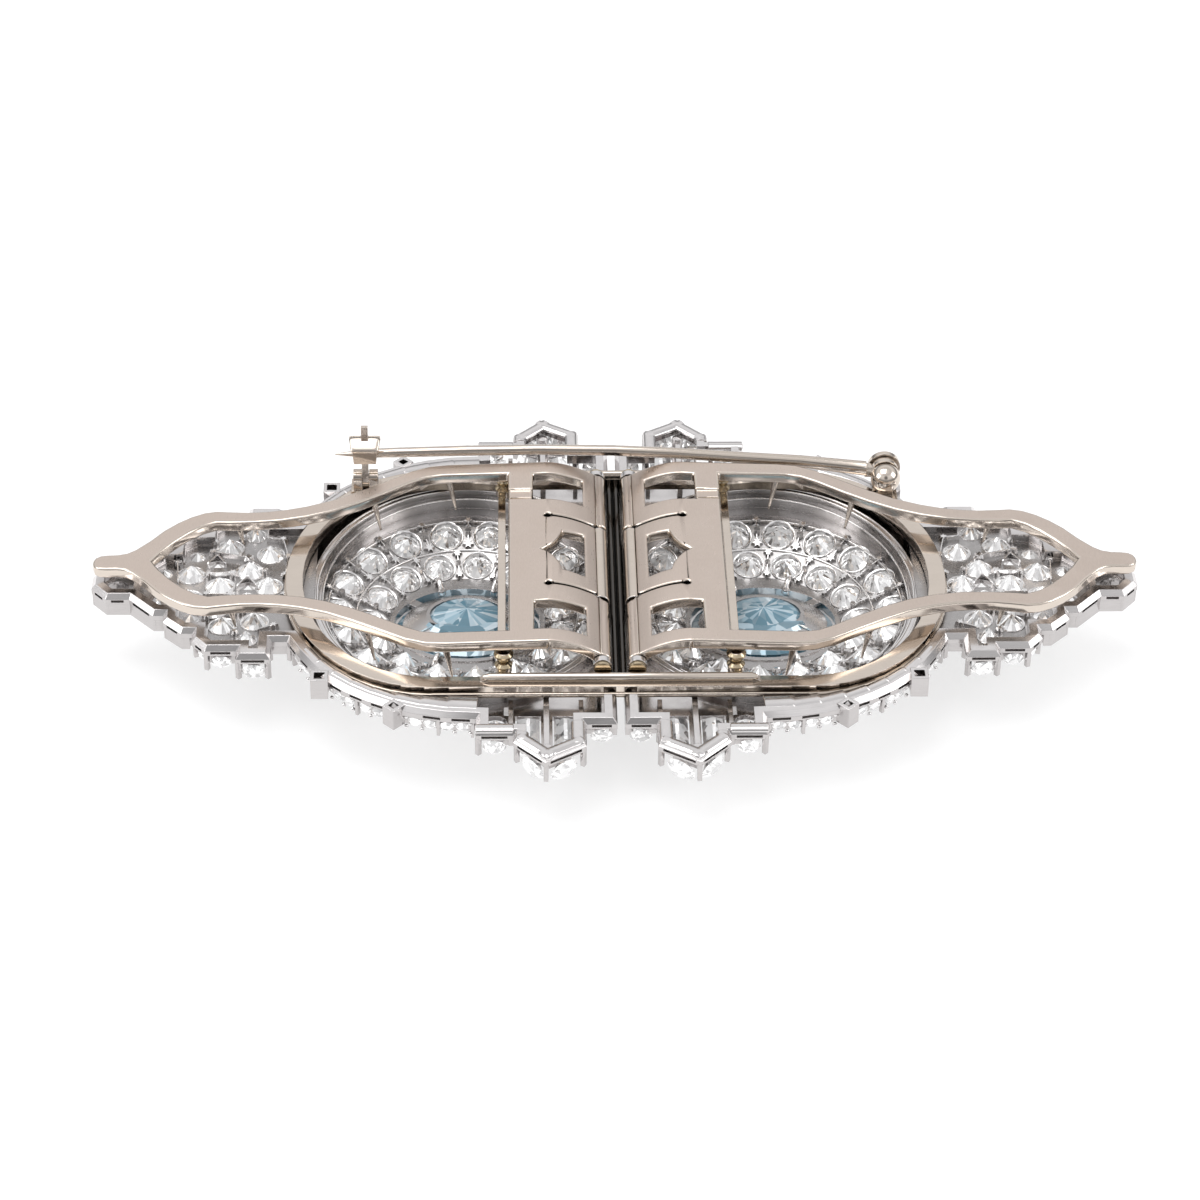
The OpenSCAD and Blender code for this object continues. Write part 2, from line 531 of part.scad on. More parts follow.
module brooch_frame() {
    difference() {
        union() {
            wall(stadium(ring_straight, ring_a, ring_b, 24),
                stadium(ring_straight, ring_a - ring_w, ring_b - ring_w, 24), ring_z, ring_top);
            for (s = [-1, 1]) {
                // rail on each straight side, its ends sloping
                rotate([90, 0, 0]) translate([0, 0, s > 0 ? -13.68 : 13.03]) linear_extrude(0.65)
                    polygon([[-10.7, ring_top - 0.4], [-10.4, ring_top], [-9.7, 7.75], [9.7, 7.75],
                        [10.4, ring_top], [10.7, ring_top - 0.4]]);
                // cross bar with its end posts
                translate([s * 8.8 - 0.3, -13.3, 6.85]) cube([0.6, 26.6, 0.65]);
                for (t = [-1, 1]) translate([s * 8.65, t * 11.65, 0]) rotate_extrude($fn = 24)
                    polygon([[0, 6.9], [0.62, 6.9], [0.62, 7.45], [0.38, 7.7], [0.42, 7.95], [0.7, 8.35],
                        [0.7, 8.55], [0.5, 8.72], [0, 8.72]]);
            }
            // pin joint: base, ball-shaped near ear, far ear
            translate([joint_x - 0.95, 9.3, 7.2]) cube([1.9, 3.65, 0.3]);
            difference() {
                translate([joint_x, 11.05, joint_z]) sphere(r = 1.18);
                translate([joint_x - 2, 11.68, 6]) cube([4, 2, 5]);
            }
            translate([joint_x - 0.6, 10.4, 7.3]) cube([1.2, 1.28, 1.2]);
            translate([joint_x, 12.5, joint_z]) rotate([-90, 0, 0]) cylinder(r = 1.3, h = 0.45);
            // catch: base and two cheeks
            translate([catch_x - 1.15, 11.0, 7.1]) cube([2.3, 1.8, 0.55]);
            for (x = [-0.97, 0.29]) {
                translate([catch_x + x, pivot_y, pivot_z]) rotate([0, 90, 0]) cylinder(r = 0.68, h = 0.68);
                translate([catch_x + x, pivot_y - 0.68, 7.2]) cube([0.68, 1.36, pivot_z - 7.2]);
            }
        }
        translate([joint_x, 10.65, joint_z]) rotate([-90, 0, 0]) cylinder(r = rod_r + rod_gap, h = 4);
        translate([catch_x - 2, pivot_y, pivot_z]) rotate([0, 90, 0]) cylinder(r = rivet_r + rod_gap, h = 4);
    }
}

module pin_stem() {
    n = 12;
    difference() {
        union() {
            polyhedron([for (q = stem, i = [0:n - 1]) [q[0], pin_y + q[1] + q[3] * cos(360 * i / n),
                plate_z + q[2] + q[3] * sin(360 * i / n)]],
                concat(ring_faces(len(stem), n),
                    [[for (i = [n - 1:-1:0]) i], [for (i = [0:n - 1]) (len(stem) - 1) * n + i]]));
            translate([joint_x, 11.76, joint_z]) rotate([-90, 0, 0]) cylinder(r = 1.12, h = 0.66);
            translate([joint_x - 1.6, 11.76, joint_z - 0.35]) cube([1.6, 0.66, 0.9]);
        }
        translate([joint_x, 10, joint_z]) rotate([-90, 0, 0]) cylinder(r = rod_r + rod_gap, h = 6);
    }
}

module joint_pin() {
    translate([joint_x, 10.7, joint_z]) rotate([-90, 0, 0]) cylinder(r = rod_r, h = 2.3);
}

// Safety hood: tongue in the cheeks, near panel, cover and thumb tab.
module catch_hood() {
    module panel(w0, w1, h) {
        translate([0, 0.16, 0]) rotate([90, 0, 0]) linear_extrude(0.32) polygon([
            [-w0 / 2, 0], [w0 / 2, 0], [w1 / 2, h * 0.8], [w1 / 2 - 0.15, h],
            [-w1 / 2 + 0.15, h], [-w1 / 2, h * 0.8]]);
    }
    difference() {
        union() {
            translate([catch_x - 0.26, pivot_y, pivot_z]) rotate([0, 90, 0]) cylinder(r = 0.6, h = 0.52);
            translate([catch_x - 0.26, 11.3, pivot_z]) cube([0.52, 0.4, 2.1]);
            translate([catch_x, 11.3, plate_z + 0.35]) rotate([-4, 0, 0]) panel(1.75, 1.95, 1.25);
            translate([catch_x, 11.42, plate_z + 1.4]) rotate([-40, 0, 0]) panel(1.95, 2.5, 1.15);
            translate([catch_x - 0.27, 11.75, plate_z + 2.0]) cube([0.54, 0.32, 1.4]);
        }
        translate([catch_x - 2, pivot_y, pivot_z]) rotate([0, 90, 0]) cylinder(r = rivet_r + rod_gap, h = 4);
    }
}

module catch_pin() {
    translate([catch_x - 1.0, pivot_y, pivot_z]) rotate([0, 90, 0]) cylinder(r = rivet_r, h = 2.0);
}

// Nodes.

module mount_right() { color(platinum) mount(); }
module mount_left() { color(platinum) mirror([1, 0, 0]) mount(); }
module aquamarine_right() { color(blue) aquamarine(); }
module aquamarine_left() { color(blue) mirror([1, 0, 0]) aquamarine(); }
module bowl_stones_right() { color(clear) bowl_stones(); }
module bowl_stones_left() { color(clear) mirror([1, 0, 0]) bowl_stones(); }
module tip_stones_right() { color(clear) tip_stones(); }
module tip_stones_left() { color(clear) mirror([1, 0, 0]) tip_stones(); }
module rim_stones_right() { color(clear) rim_stones(); }
module rim_stones_left() { color(clear) mirror([1, 0, 0]) rim_stones(); }
module lever_right() { color(gold) lever(); }
module lever_left() { color(gold) mirror([1, 0, 0]) lever(); }
module hinge_pin_right() { color(gold) hinge_pin(); }
module hinge_pin_left() { color(gold) mirror([1, 0, 0]) hinge_pin(); }
module frame_ring() { color(gold) brooch_frame(); }
module stem_pin() { color(gold) pin_stem(); }
module stem_rivet() { color(gold) joint_pin(); }
module hood() { color(gold) catch_hood(); }
module hood_rivet() { color(gold) catch_pin(); }

mount_left();
mount_right();
aquamarine_left();
aquamarine_right();
bowl_stones_left();
bowl_stones_right();
tip_stones_left();
tip_stones_right();
rim_stones_left();
rim_stones_right();
lever_left();
lever_right();
hinge_pin_left();
hinge_pin_right();
frame_ring();
stem_pin();
stem_rivet();
hood();
hood_rivet();
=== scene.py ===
"""Dresses a packed pair of dress clips, joined on a brooch frame, for a studio view.

Sizes in the classes are millimetres, turned into metres by MM where a mesh is made.
X runs along the brooch, Y away from the viewer towards the pin, Z up from the surface.
"""

import json
import logging
import math
from collections.abc import Callable, Sequence
from dataclasses import dataclass, field, fields
from enum import Enum

import bmesh
import bpy
from mathutils import Matrix, Vector

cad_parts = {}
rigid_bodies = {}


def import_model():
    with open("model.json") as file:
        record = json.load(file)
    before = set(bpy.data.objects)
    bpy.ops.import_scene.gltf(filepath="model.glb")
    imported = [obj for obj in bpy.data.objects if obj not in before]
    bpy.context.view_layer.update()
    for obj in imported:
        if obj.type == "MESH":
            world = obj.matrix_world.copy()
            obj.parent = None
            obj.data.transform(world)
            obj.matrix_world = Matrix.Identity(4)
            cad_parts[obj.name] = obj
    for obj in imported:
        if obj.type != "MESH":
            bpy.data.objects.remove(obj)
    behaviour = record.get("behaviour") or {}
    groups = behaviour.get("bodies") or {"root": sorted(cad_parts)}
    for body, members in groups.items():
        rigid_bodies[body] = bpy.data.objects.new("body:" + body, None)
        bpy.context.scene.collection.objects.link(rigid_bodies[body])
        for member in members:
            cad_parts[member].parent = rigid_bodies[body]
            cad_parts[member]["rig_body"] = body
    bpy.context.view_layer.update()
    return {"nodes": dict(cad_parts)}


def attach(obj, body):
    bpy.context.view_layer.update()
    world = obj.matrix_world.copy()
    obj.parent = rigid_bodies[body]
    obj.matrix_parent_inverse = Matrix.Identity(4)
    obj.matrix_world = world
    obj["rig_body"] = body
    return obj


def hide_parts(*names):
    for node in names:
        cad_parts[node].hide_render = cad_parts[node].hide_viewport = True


MM = 0.001
MERGE_M = 1e-7
SAME_LEVEL_M = 1e-5
LOG = logging.getLogger("dress_clips")

# The Mix node's sockets when it mixes colours.
MIX_FIRST, MIX_SECOND, MIX_RESULT = 6, 7, 2

Colour = tuple[float, float, float]
Point = tuple[float, float, float]
Pair = tuple[float, float]

# Distance of the bowl's and the large stone's middle from the brooch's.
BOWL_X = 11.5

# X and Y of the oval band's outline, from the motif to the tip.
OVAL_BAND: tuple[Pair, ...] = (
    (10.70, 17.2), (12.9, 17.05), (15.0, 16.6), (17.0, 15.9), (18.8, 14.95), (20.4, 13.85), (21.9, 12.5),
    (23.1, 11.0), (24.1, 9.35))


class Side(Enum):
    """The two clips, by the sign of their X."""

    RIGHT = 1
    LEFT = -1

    @property
    def word(self) -> str:
        """The side's name as the nodes spell it."""
        return self.name.lower()


class Slot(Enum):
    """The record's material slots."""

    PLATINUM = "platinum"
    WHITE_GOLD = "white_gold"
    DIAMOND = "diamond"
    AQUAMARINE = "aquamarine"


# Material boards.


class NodeBoard:
    """A new material's node tree, with short ways to add nodes and join them."""

    def __init__(self, name: str) -> None:
        """Start an empty board.

        Args:
            name: The material's name.
        """
        self.material = bpy.data.materials.new(name)
        self.material.use_nodes = True
        self.tree = self.material.node_tree
        self.tree.nodes.clear()
        self.shader = self.add("ShaderNodeBsdfPrincipled")
        output = self.add("ShaderNodeOutputMaterial")
        self.join(self.shader.outputs["BSDF"], output.inputs["Surface"])
        self.coords = self.add("ShaderNodeTexCoord").outputs["Object"]

    def add(self, kind: str, **settings: object) -> bpy.types.Node:
        """Add a node of a kind and give it its settings.

        Args:
            kind: Blender's name of the node type.
            **settings: Properties to set on the node.

        Returns:
            The node.
        """
        node = self.tree.nodes.new(kind)
        for key, value in settings.items():
            setattr(node, key, value)
        return node

    def join(self, source: bpy.types.NodeSocket, target: bpy.types.NodeSocket) -> None:
        """Link one socket to another."""
        self.tree.links.new(source, target)

    def feed(self, node: bpy.types.Node, key: str | int, value: object) -> None:
        """Give an input a link or a plain value.

        Args:
            node: The node that has the input.
            key: The input's name or number.
            value: A socket to link from, or a value to set.
        """
        if isinstance(value, bpy.types.NodeSocket):
            self.join(value, node.inputs[key])
        else:
            node.inputs[key].default_value = value

    def math(self, kind: str, first: object, second: object) -> bpy.types.NodeSocket:
        """Work out one number from two.

        Args:
            kind: The operation's name.
            first: A socket or a number.
            second: A socket or a number.

        Returns:
            The result's socket.
        """
        node = self.add("ShaderNodeMath", operation=kind)
        self.feed(node, 0, first)
        self.feed(node, 1, second)
        return node.outputs[0]

    def spread(self, value: object, low: float, high: float, to_low: float,
               to_high: float) -> bpy.types.NodeSocket:
        """Move a number from one range to another, clamped.

        Args:
            value: A socket or a number.
            low: Start of the range that it comes from.
            high: End of that range.
            to_low: What the start becomes.
            to_high: What the end becomes.

        Returns:
            The result's socket.
        """
        node = self.add("ShaderNodeMapRange")
        for key, number in enumerate((value, low, high, to_low, to_high)):
            self.feed(node, key, number)
        return node.outputs[0]

    def noise(self, size: Point, detail: float, rough: float = 0.55) -> bpy.types.NodeSocket:
        """Cloudy pattern in object coordinates.

        Args:
            size: Length of one cloud along X, Y and Z, in millimetres.
            detail: Number of finer layers.
            rough: Strength of the finer layers.

        Returns:
            The pattern's socket, about 0.5 in the middle.
        """
        mapping = self.add("ShaderNodeMapping")
        mapping.inputs["Scale"].default_value = [1 / (s * MM) for s in size]
        self.join(self.coords, mapping.inputs["Vector"])
        node = self.add("ShaderNodeTexNoise")
        node.inputs["Scale"].default_value = 1.0
        node.inputs["Detail"].default_value = detail
        node.inputs["Roughness"].default_value = rough
        self.join(mapping.outputs[0], node.inputs["Vector"])
        return node.outputs["Fac"]

    def blend(self, factor: object, first: object, second: object) -> bpy.types.NodeSocket:
        """Mix two colours.

        Args:
            factor: A socket or a number from 0 to 1.
            first: A socket or a colour with alpha.
            second: A socket or a colour with alpha.

        Returns:
            The mixed colour's socket.
        """
        node = self.add("ShaderNodeMix", data_type="RGBA", blend_type="MIX")
        for key, value in ((0, factor), (MIX_FIRST, first), (MIX_SECOND, second)):
            self.feed(node, key, value)
        return node.outputs[MIX_RESULT]


def rgba(colour: Colour) -> tuple[float, float, float, float]:
    """A colour with full alpha."""
    return (*colour, 1.0)


@dataclass(frozen=True)
class MetalFinish:
    """A worn polished or satin metal: soft edges, hollows darkened with painted shade, fine rubbing
    marks.
    """

    name: str
    colour: Colour
    # Painted shade: the colour that hollows darken towards; hollow_mm and hollow_share below set how far
    # and how strongly.
    hollow: Colour
    roughness: float
    edge_roughness: float
    edge_mm: float
    rub_mm: Point
    rub_depth_mm: float = 0.0006
    hollow_mm: float = 0.8
    hollow_share: float = 0.75
    cloud_mm: Point = (2.6, 2.2, 2.2)
    worn_tone: float = 0.88

    def build(self) -> bpy.types.Material:
        """Make the material.

        Returns:
            The material.
        """
        board = NodeBoard(self.name)
        shader = board.shader
        shader.inputs["Metallic"].default_value = 1.0
        bevel = board.add("ShaderNodeBevel", samples=4)
        bevel.inputs["Radius"].default_value = self.edge_mm * MM
        rounded = bevel.outputs[0]
        rub = board.noise(self.rub_mm, 4.0, 0.65)
        cloud = board.noise(self.cloud_mm, 3.0)
        board.join(self._tone(board, rounded, rub, cloud), shader.inputs["Base Color"])
        board.join(self._gloss(board, rounded, rub, cloud), shader.inputs["Roughness"])
        bump = board.add("ShaderNodeBump")
        bump.inputs["Strength"].default_value = 1.0
        bump.inputs["Distance"].default_value = self.rub_depth_mm * MM
        board.join(rub, bump.inputs["Height"])
        board.join(rounded, bump.inputs["Normal"])
        board.join(bump.outputs[0], shader.inputs["Normal"])
        return board.material

    def _tone(self, board: NodeBoard, rounded: bpy.types.NodeSocket, rub: bpy.types.NodeSocket,
              cloud: bpy.types.NodeSocket) -> bpy.types.NodeSocket:
        """The metal's colour: a little duller where it is rubbed, with painted shade in its hollows.

        Args:
            board: The material's board.
            rounded: The normal with softened edges.
            rub: The rubbing marks' pattern.
            cloud: The wide, soft pattern.

        Returns:
            The colour's socket.
        """
        # Painted shade: where ambient occlusion finds hollows, the colour darkens towards the colour
        # given for them.
        hollow = board.add("ShaderNodeAmbientOcclusion", samples=6)
        hollow.inputs["Distance"].default_value = self.hollow_mm * MM
        board.join(rounded, hollow.inputs["Normal"])
        depth = board.spread(hollow.outputs["AO"], 0.15, 0.85, self.hollow_share, 0.0)
        clouded = board.spread(cloud, 0.35, 0.65, 0.0, 0.3)
        worn = board.math("ADD", clouded, board.spread(rub, 0.35, 0.65, 0.0, 0.4))
        body = board.blend(worn, rgba(self.colour), rgba(tuple(c * self.worn_tone for c in self.colour)))
        return board.blend(depth, body, rgba(self.hollow))

    def _gloss(self, board: NodeBoard, rounded: bpy.types.NodeSocket, rub: bpy.types.NodeSocket,
               cloud: bpy.types.NodeSocket) -> bpy.types.NodeSocket:
        """The metal's roughness: its own on flat faces, another along the worn edges.

        Args:
            board: The material's board.
            rounded: The normal with softened edges.
            rub: The rubbing marks' pattern.
            cloud: The wide, soft pattern.

        Returns:
            The roughness socket.
        """
        turn = board.add("ShaderNodeVectorMath", operation="DOT_PRODUCT")
        board.join(rounded, turn.inputs[0])
        board.join(board.add("ShaderNodeNewGeometry").outputs["Normal"], turn.inputs[1])
        edge = board.spread(turn.outputs["Value"], 0.995, 0.86, 0.0, 1.0)
        rubbed = board.spread(rub, 0.3, 0.7, self.roughness * 0.75, self.roughness * 1.25)
        flat = board.math("ADD", rubbed, board.spread(cloud, 0.4, 0.7, 0.0, self.roughness * 0.3))
        inner = board.math("MULTIPLY", flat, board.math("SUBTRACT", 1.0, edge))
        return board.math("ADD", inner, board.math("MULTIPLY", edge, self.edge_roughness))


@dataclass(frozen=True)
class StoneFinish:
    """A cut stone: facets take turns between a clear look inwards and a bright inner mirror; their colour
    is painted light and shade at random, and the lightest may glow as painted glints.
    """

    name: str
    # Painted shade and painted light: the two colours between which each facet's colour lies at random.
    shade: Colour
    light: Colour
    index: float
    clear: float
    mirror: float
    roughness: float = 0.015
    patch_mm: float = 0.75
    facet_step: float = 0.07
    # Strength of the painted glints, a white glow on the lightest facets; 0 for none.
    spark: float = 0.0
    mirror_share: Pair = (0.34, 0.38)
    spark_share: Pair = (0.60, 0.66)

    def build(self) -> bpy.types.Material:
        """Make the material.

        Returns:
            The material.
        """
        board = NodeBoard(self.name)
        shader = board.shader
        shader.inputs["IOR"].default_value = self.index
        chance = self._facet_chance(board)
        # Painted light and shade: each facet's colour lies at random between the shade colour and the
        # light colour.
        painted_facet_tone = board.blend(board.spread(chance, 0.1, 0.9, 0.0, 1.0), rgba(self.shade), rgba(self.light))
        board.join(painted_facet_tone, shader.inputs["Base Color"])
        board.join(board.spread(chance, *self.mirror_share, 0.0, self.mirror), shader.inputs["Metallic"])
        clear = board.spread(chance, *self.mirror_share, self.clear, 0.0)
        board.join(clear, shader.inputs["Transmission Weight"])
        # Painted glints: the lightest facets glow white, though the stone is no lamp.
        if self.spark:
            shader.inputs["Emission Color"].default_value = (1, 1, 1, 1)
            spark = board.spread(chance, *self.spark_share, 0.0, self.spark)
            board.join(spark, shader.inputs["Emission Strength"])
        film = board.noise((1.2, 1.2, 1.2), 4.0)
        gloss = board.spread(film, 0.5, 0.8, self.roughness, self.roughness + 0.05)
        board.join(gloss, shader.inputs["Roughness"])
        return board.material

    def _facet_chance(self, board: NodeBoard) -> bpy.types.NodeSocket:
        """A steady random number for each facet and each patch of the light that it passes on.

        Args:
            board: The material's board.

        Returns:
            The number's socket, 0 to 1.
        """
        facet = board.add("ShaderNodeVectorMath", operation="SNAP")
        board.join(board.add("ShaderNodeNewGeometry").outputs["True Normal"], facet.inputs[0])
        facet.inputs[1].default_value = (self.facet_step,) * 3
        patch = board.add("ShaderNodeTexVoronoi", distance="MANHATTAN")
        patch.inputs["Scale"].default_value = 1 / (self.patch_mm * MM)
        board.join(board.coords, patch.inputs["Vector"])
        both = board.add("ShaderNodeVectorMath", operation="ADD")
        board.join(facet.outputs[0], both.inputs[0])
        board.join(patch.outputs["Color"], both.inputs[1])
        dice = board.add("ShaderNodeTexWhiteNoise", noise_dimensions="3D")
        board.join(both.outputs[0], dice.inputs["Vector"])
        return dice.outputs["Value"]


class Finish(Enum):
    """All finishes of the brooch."""

    PLATINUM = MetalFinish(
        "polished_platinum", (0.77, 0.745, 0.74), (0.24, 0.22, 0.21), roughness=0.15, edge_roughness=0.06,
        edge_mm=0.07, rub_mm=(1.4, 1.1, 0.08), hollow_mm=1.3, hollow_share=0.62)
    # Painted shade: a darker copy of the platinum for the bowl's stepped wall, its sloping bands and the
    # tip's floor.
    PLATINUM_SHADE = MetalFinish(
        "shaded_platinum", (0.47, 0.455, 0.45), (0.15, 0.14, 0.135), roughness=0.26, edge_roughness=0.06,
        edge_mm=0.05, rub_mm=(0.35, 0.35, 0.06), rub_depth_mm=0.0012, hollow_mm=0.8, hollow_share=0.55)
    PLATINUM_BRIGHT = MetalFinish(
        "bright_cut_platinum", (0.86, 0.845, 0.84), (0.30, 0.29, 0.29), roughness=0.12,
        edge_roughness=0.05, edge_mm=0.03, rub_mm=(0.5, 0.5, 0.5), rub_depth_mm=0.0004, hollow_mm=0.4,
        hollow_share=0.45)
    # Painted shade: a darker copy of the platinum for the rim's upright walls.
    PLATINUM_SIDE = MetalFinish(
        "side_platinum", (0.58, 0.555, 0.55), (0.20, 0.185, 0.18), roughness=0.13, edge_roughness=0.06,
        edge_mm=0.06, rub_mm=(1.0, 0.9, 0.08), hollow_mm=0.9, hollow_share=0.6)
    GOLD_SATIN = MetalFinish(
        "satin_white_gold", (0.70, 0.600, 0.530), (0.26, 0.21, 0.16), roughness=0.32, edge_roughness=0.10,
        edge_mm=0.10, rub_mm=(0.10, 0.5, 0.3), rub_depth_mm=0.0009)
    GOLD_BRIGHT = MetalFinish(
        "polished_white_gold", (0.72, 0.64, 0.565), (0.24, 0.19, 0.14), roughness=0.11,
        edge_roughness=0.05, edge_mm=0.07, rub_mm=(1.8, 0.06, 0.06), rub_depth_mm=0.0004)
    # Painted shade: a dark copy of the white gold for the ring's low walls.
    GOLD_SHADE = MetalFinish(
        "shaded_white_gold", (0.25, 0.21, 0.17), (0.12, 0.095, 0.07), roughness=0.20, edge_roughness=0.06,
        edge_mm=0.07, rub_mm=(1.2, 0.08, 0.06), rub_depth_mm=0.0006)
    GOLD_YELLOW = MetalFinish(
        "warm_gold", (0.60, 0.50, 0.35), (0.20, 0.14, 0.07), roughness=0.14, edge_roughness=0.06,
        edge_mm=0.05, rub_mm=(0.5, 0.5, 0.5), rub_depth_mm=0.0006)
    # Painted shade: a near-black copy of the polished white gold for the walls of the spring slits and
    # for the rods between the levers.
    DARK_POLISH = MetalFinish(
        "dark_polished_gold", (0.10, 0.095, 0.09), (0.03, 0.03, 0.03), roughness=0.10,
        edge_roughness=0.06, edge_mm=0.04, rub_mm=(0.3, 2.0, 0.3), rub_depth_mm=0.0005)
    # Painted light and shade across the facets, and painted glints where the lightest glow.
    DIAMOND = StoneFinish(
        "diamond", (0.90, 0.895, 0.90), (1.0, 0.995, 0.99), index=2.0, clear=0.42, mirror=0.82,
        spark=0.22)
    # Its blue is the stone's own colour; the darker and lighter blues across the facets are painted light
    # and shade.
    AQUAMARINE = StoneFinish(
        "aquamarine", (0.19, 0.38, 0.49), (0.60, 0.70, 0.76), index=1.58, clear=0.40, mirror=0.25,
        patch_mm=1.9)


# Modelling helpers.


def between(value: float, limits: Pair) -> bool:
    """Whether a value lies between two limits."""
    return limits[0] < value < limits[1]


def clear_selection() -> None:
    """Go back to object mode with nothing selected."""
    active = bpy.context.view_layer.objects.active
    if active is not None and active.mode != "OBJECT":
        bpy.ops.object.mode_set(mode="OBJECT")
    bpy.ops.object.select_all(action="DESELECT")


def pick_object(item: bpy.types.Object) -> None:
    """Select one object alone and make it active."""
    clear_selection()
    item.select_set(True)
    bpy.context.view_layer.objects.active = item


def pick_vertices(item: bpy.types.Object, test: Callable[[Vector], bool]) -> None:
    """In edit mode, select the vertices that pass a test on their place, and what lies between them.

    Args:
        item: The object in edit mode.
        test: Says whether the vertex at a place, in metres, is wanted.
    """
    mesh = bmesh.from_edit_mesh(item.data)
    for face in mesh.faces:
        face.select = False
    for edge in mesh.edges:
        edge.select = False
    for vertex in mesh.verts:
        vertex.select = bool(test(vertex.co))
    mesh.select_flush(True)
    bmesh.update_edit_mesh(item.data)


def squeeze(item: bpy.types.Object, test: Callable[[Vector], bool], factor: Point) -> None:
    """In edit mode, scale the vertices that pass a test about the origin.

    Args:
        item: The object in edit mode.
        test: Says whether the vertex at a place, in metres, is wanted.
        factor: The scale along X, Y and Z.
    """
    pick_vertices(item, test)
    bpy.ops.transform.resize(value=factor, center_override=(0, 0, 0))


def outward_faces(item: bpy.types.Object) -> None:
    """In edit mode, merge doubled corners and turn every face outwards."""
    bpy.ops.mesh.select_all(action="SELECT")
    bpy.ops.mesh.remove_doubles(threshold=MERGE_M)
    bpy.ops.mesh.normals_make_consistent(inside=False)
    bpy.ops.object.mode_set(mode="OBJECT")


def fix_place(item: bpy.types.Object) -> None:
    """Move an object's place, turn and scale into its mesh."""
    pick_object(item)
    bpy.ops.object.transform_apply(location=True, rotation=True, scale=True)


def copy_to(master: bpy.types.Object, place: Point, turn: Point,
            size: Point = (1, 1, 1)) -> bpy.types.Object:
    """Copy a finished shape, with a mesh of its own.

    Args:
        master: The shape, modelled round the origin.
        place: Where the copy goes, in millimetres.
        turn: Its XYZ Euler turn, in radians.
        size: Its scale along the master's axes.

    Returns:
        The copy.
    """
    pick_object(master)
    bpy.ops.object.duplicate(linked=False)
    twin = bpy.context.view_layer.objects.active
    twin.location = Vector(place) * MM
    twin.rotation_euler = turn
    twin.scale = size
    return twin


def join_all(items: Sequence[bpy.types.Object], name: str) -> bpy.types.Object:
    """Join shapes into one object at the origin.

    Args:
        items: The shapes.
        name: The joined object's name.

    Returns:
        The joined object.
    """
    clear_selection()
    for item in items:
        item.select_set(True)
    bpy.context.view_layer.objects.active = items[0]
    bpy.ops.object.transform_apply(location=True, rotation=True, scale=True)
    bpy.ops.object.join()
    joined = bpy.context.view_layer.objects.active
    joined.name = name
    joined.data.name = name
    return joined


def drop(item: bpy.types.Object) -> None:
    """Remove a master shape that was only copied."""
    bpy.data.objects.remove(item)


def shade(item: bpy.types.Object, degrees: float) -> None:
    """Smooth the shading across edges flatter than an angle."""
    pick_object(item)
    bpy.ops.object.shade_smooth_by_angle(angle=math.radians(degrees))


def apply_modifier(item: bpy.types.Object, kind: str, **settings: object) -> None:
    """Add a modifier and apply it.

    Args:
        item: The object.
        kind: The modifier's type.
        **settings: Its properties.
    """
    pick_object(item)
    modifier = item.modifiers.new(kind.lower(), kind)
    for key, value in settings.items():
        setattr(modifier, key, value)
    bpy.ops.object.modifier_apply(modifier=modifier.name)


def round_edges(item: bpy.types.Object, test: Callable[[Vector], bool], width_mm: float,
                degrees: float) -> None:
    """Round the sharp edges of a merged copy in one region.

    Args:
        item: The copy.
        test: Says whether a corner at a place, in metres, is in the region.
        width_mm: Width of the rounding.
        degrees: Edges flatter than this are left as they are.
    """
    pick_object(item)
    bpy.ops.object.mode_set(mode="EDIT")
    bpy.ops.mesh.select_mode(type="VERT")
    pick_vertices(item, test)
    bpy.ops.mesh.dissolve_limited(angle_limit=math.radians(0.5))
    bpy.ops.mesh.select_all(action="DESELECT")
    bpy.ops.mesh.select_mode(type="EDGE")
    mesh = bmesh.from_edit_mesh(item.data)
    least = math.radians(degrees)
    for edge in mesh.edges:
        hard = len(edge.link_faces) == 2 and edge.calc_face_angle() > least
        edge.select_set(hard and all(test(vertex.co) for vertex in edge.verts))
    bmesh.update_edit_mesh(item.data)
    bpy.ops.mesh.bevel(offset=width_mm * MM, segments=3, affect="EDGES", clamp_overlap=True)
    bpy.ops.mesh.select_mode(type="VERT")
    bpy.ops.object.mode_set(mode="OBJECT")


def hand_over(item: bpy.types.Object, finish: bpy.types.Material, body: str, slot: Slot,
              *nodes: str) -> None:
    """Give a finished piece its material and body, and hide the nodes that it stands for.

    Args:
        item: The piece, at the origin.
        finish: Its material.
        body: The body that it rides on.
        slot: The record's slot that the finish belongs to; not used.
        *nodes: Nodes that it stands for.
    """
    item.data.materials.clear()
    item.data.materials.append(finish)
    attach(item, body)
    if nodes:
        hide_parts(*nodes)
    LOG.info("%s rides on %s, %d faces", item.name, body, len(item.data.polygons))


# Camera and studio.


@dataclass
class PhotoCamera:
    """The camera of the view, found from the brooch's own corners."""

    elevation: float = 36.0
    heading: float = -1.61
    roll: float = 0.74
    lens_mm: float = 110.25
    sensor_mm: float = 36.0
    offset_mm: Point = (1.26, 3.95, -281.8)
    datum_mm: float = 9.8

    def build(self) -> None:
        """Make the camera and set it as the scene's."""
        tilt, turn, roll = (math.radians(a) for a in (self.elevation, self.heading, self.roll))
        back = Vector((math.sin(turn) * math.cos(tilt), -math.cos(turn) * math.cos(tilt), math.sin(tilt)))
        right = Vector((math.cos(turn), math.sin(turn), 0.0))
        up = back.cross(right)
        rolled_right = right * math.cos(roll) + up * math.sin(roll)
        rolled_up = up * math.cos(roll) - right * math.sin(roll)
        axes = Matrix((rolled_right, rolled_up, back)).transposed()
        place = -(axes @ Vector(self.offset_mm)) + Vector((0, 0, self.datum_mm))
        data = bpy.data.cameras.new("photo_camera")
        data.lens = self.lens_mm
        data.sensor_width = self.sensor_mm
        data.clip_start = 0.01
        camera = bpy.data.objects.new("photo_camera", data)
        camera.matrix_world = Matrix.Translation(place * MM) @ axes.to_4x4()
        bpy.context.scene.collection.objects.link(camera)
        bpy.context.scene.camera = camera


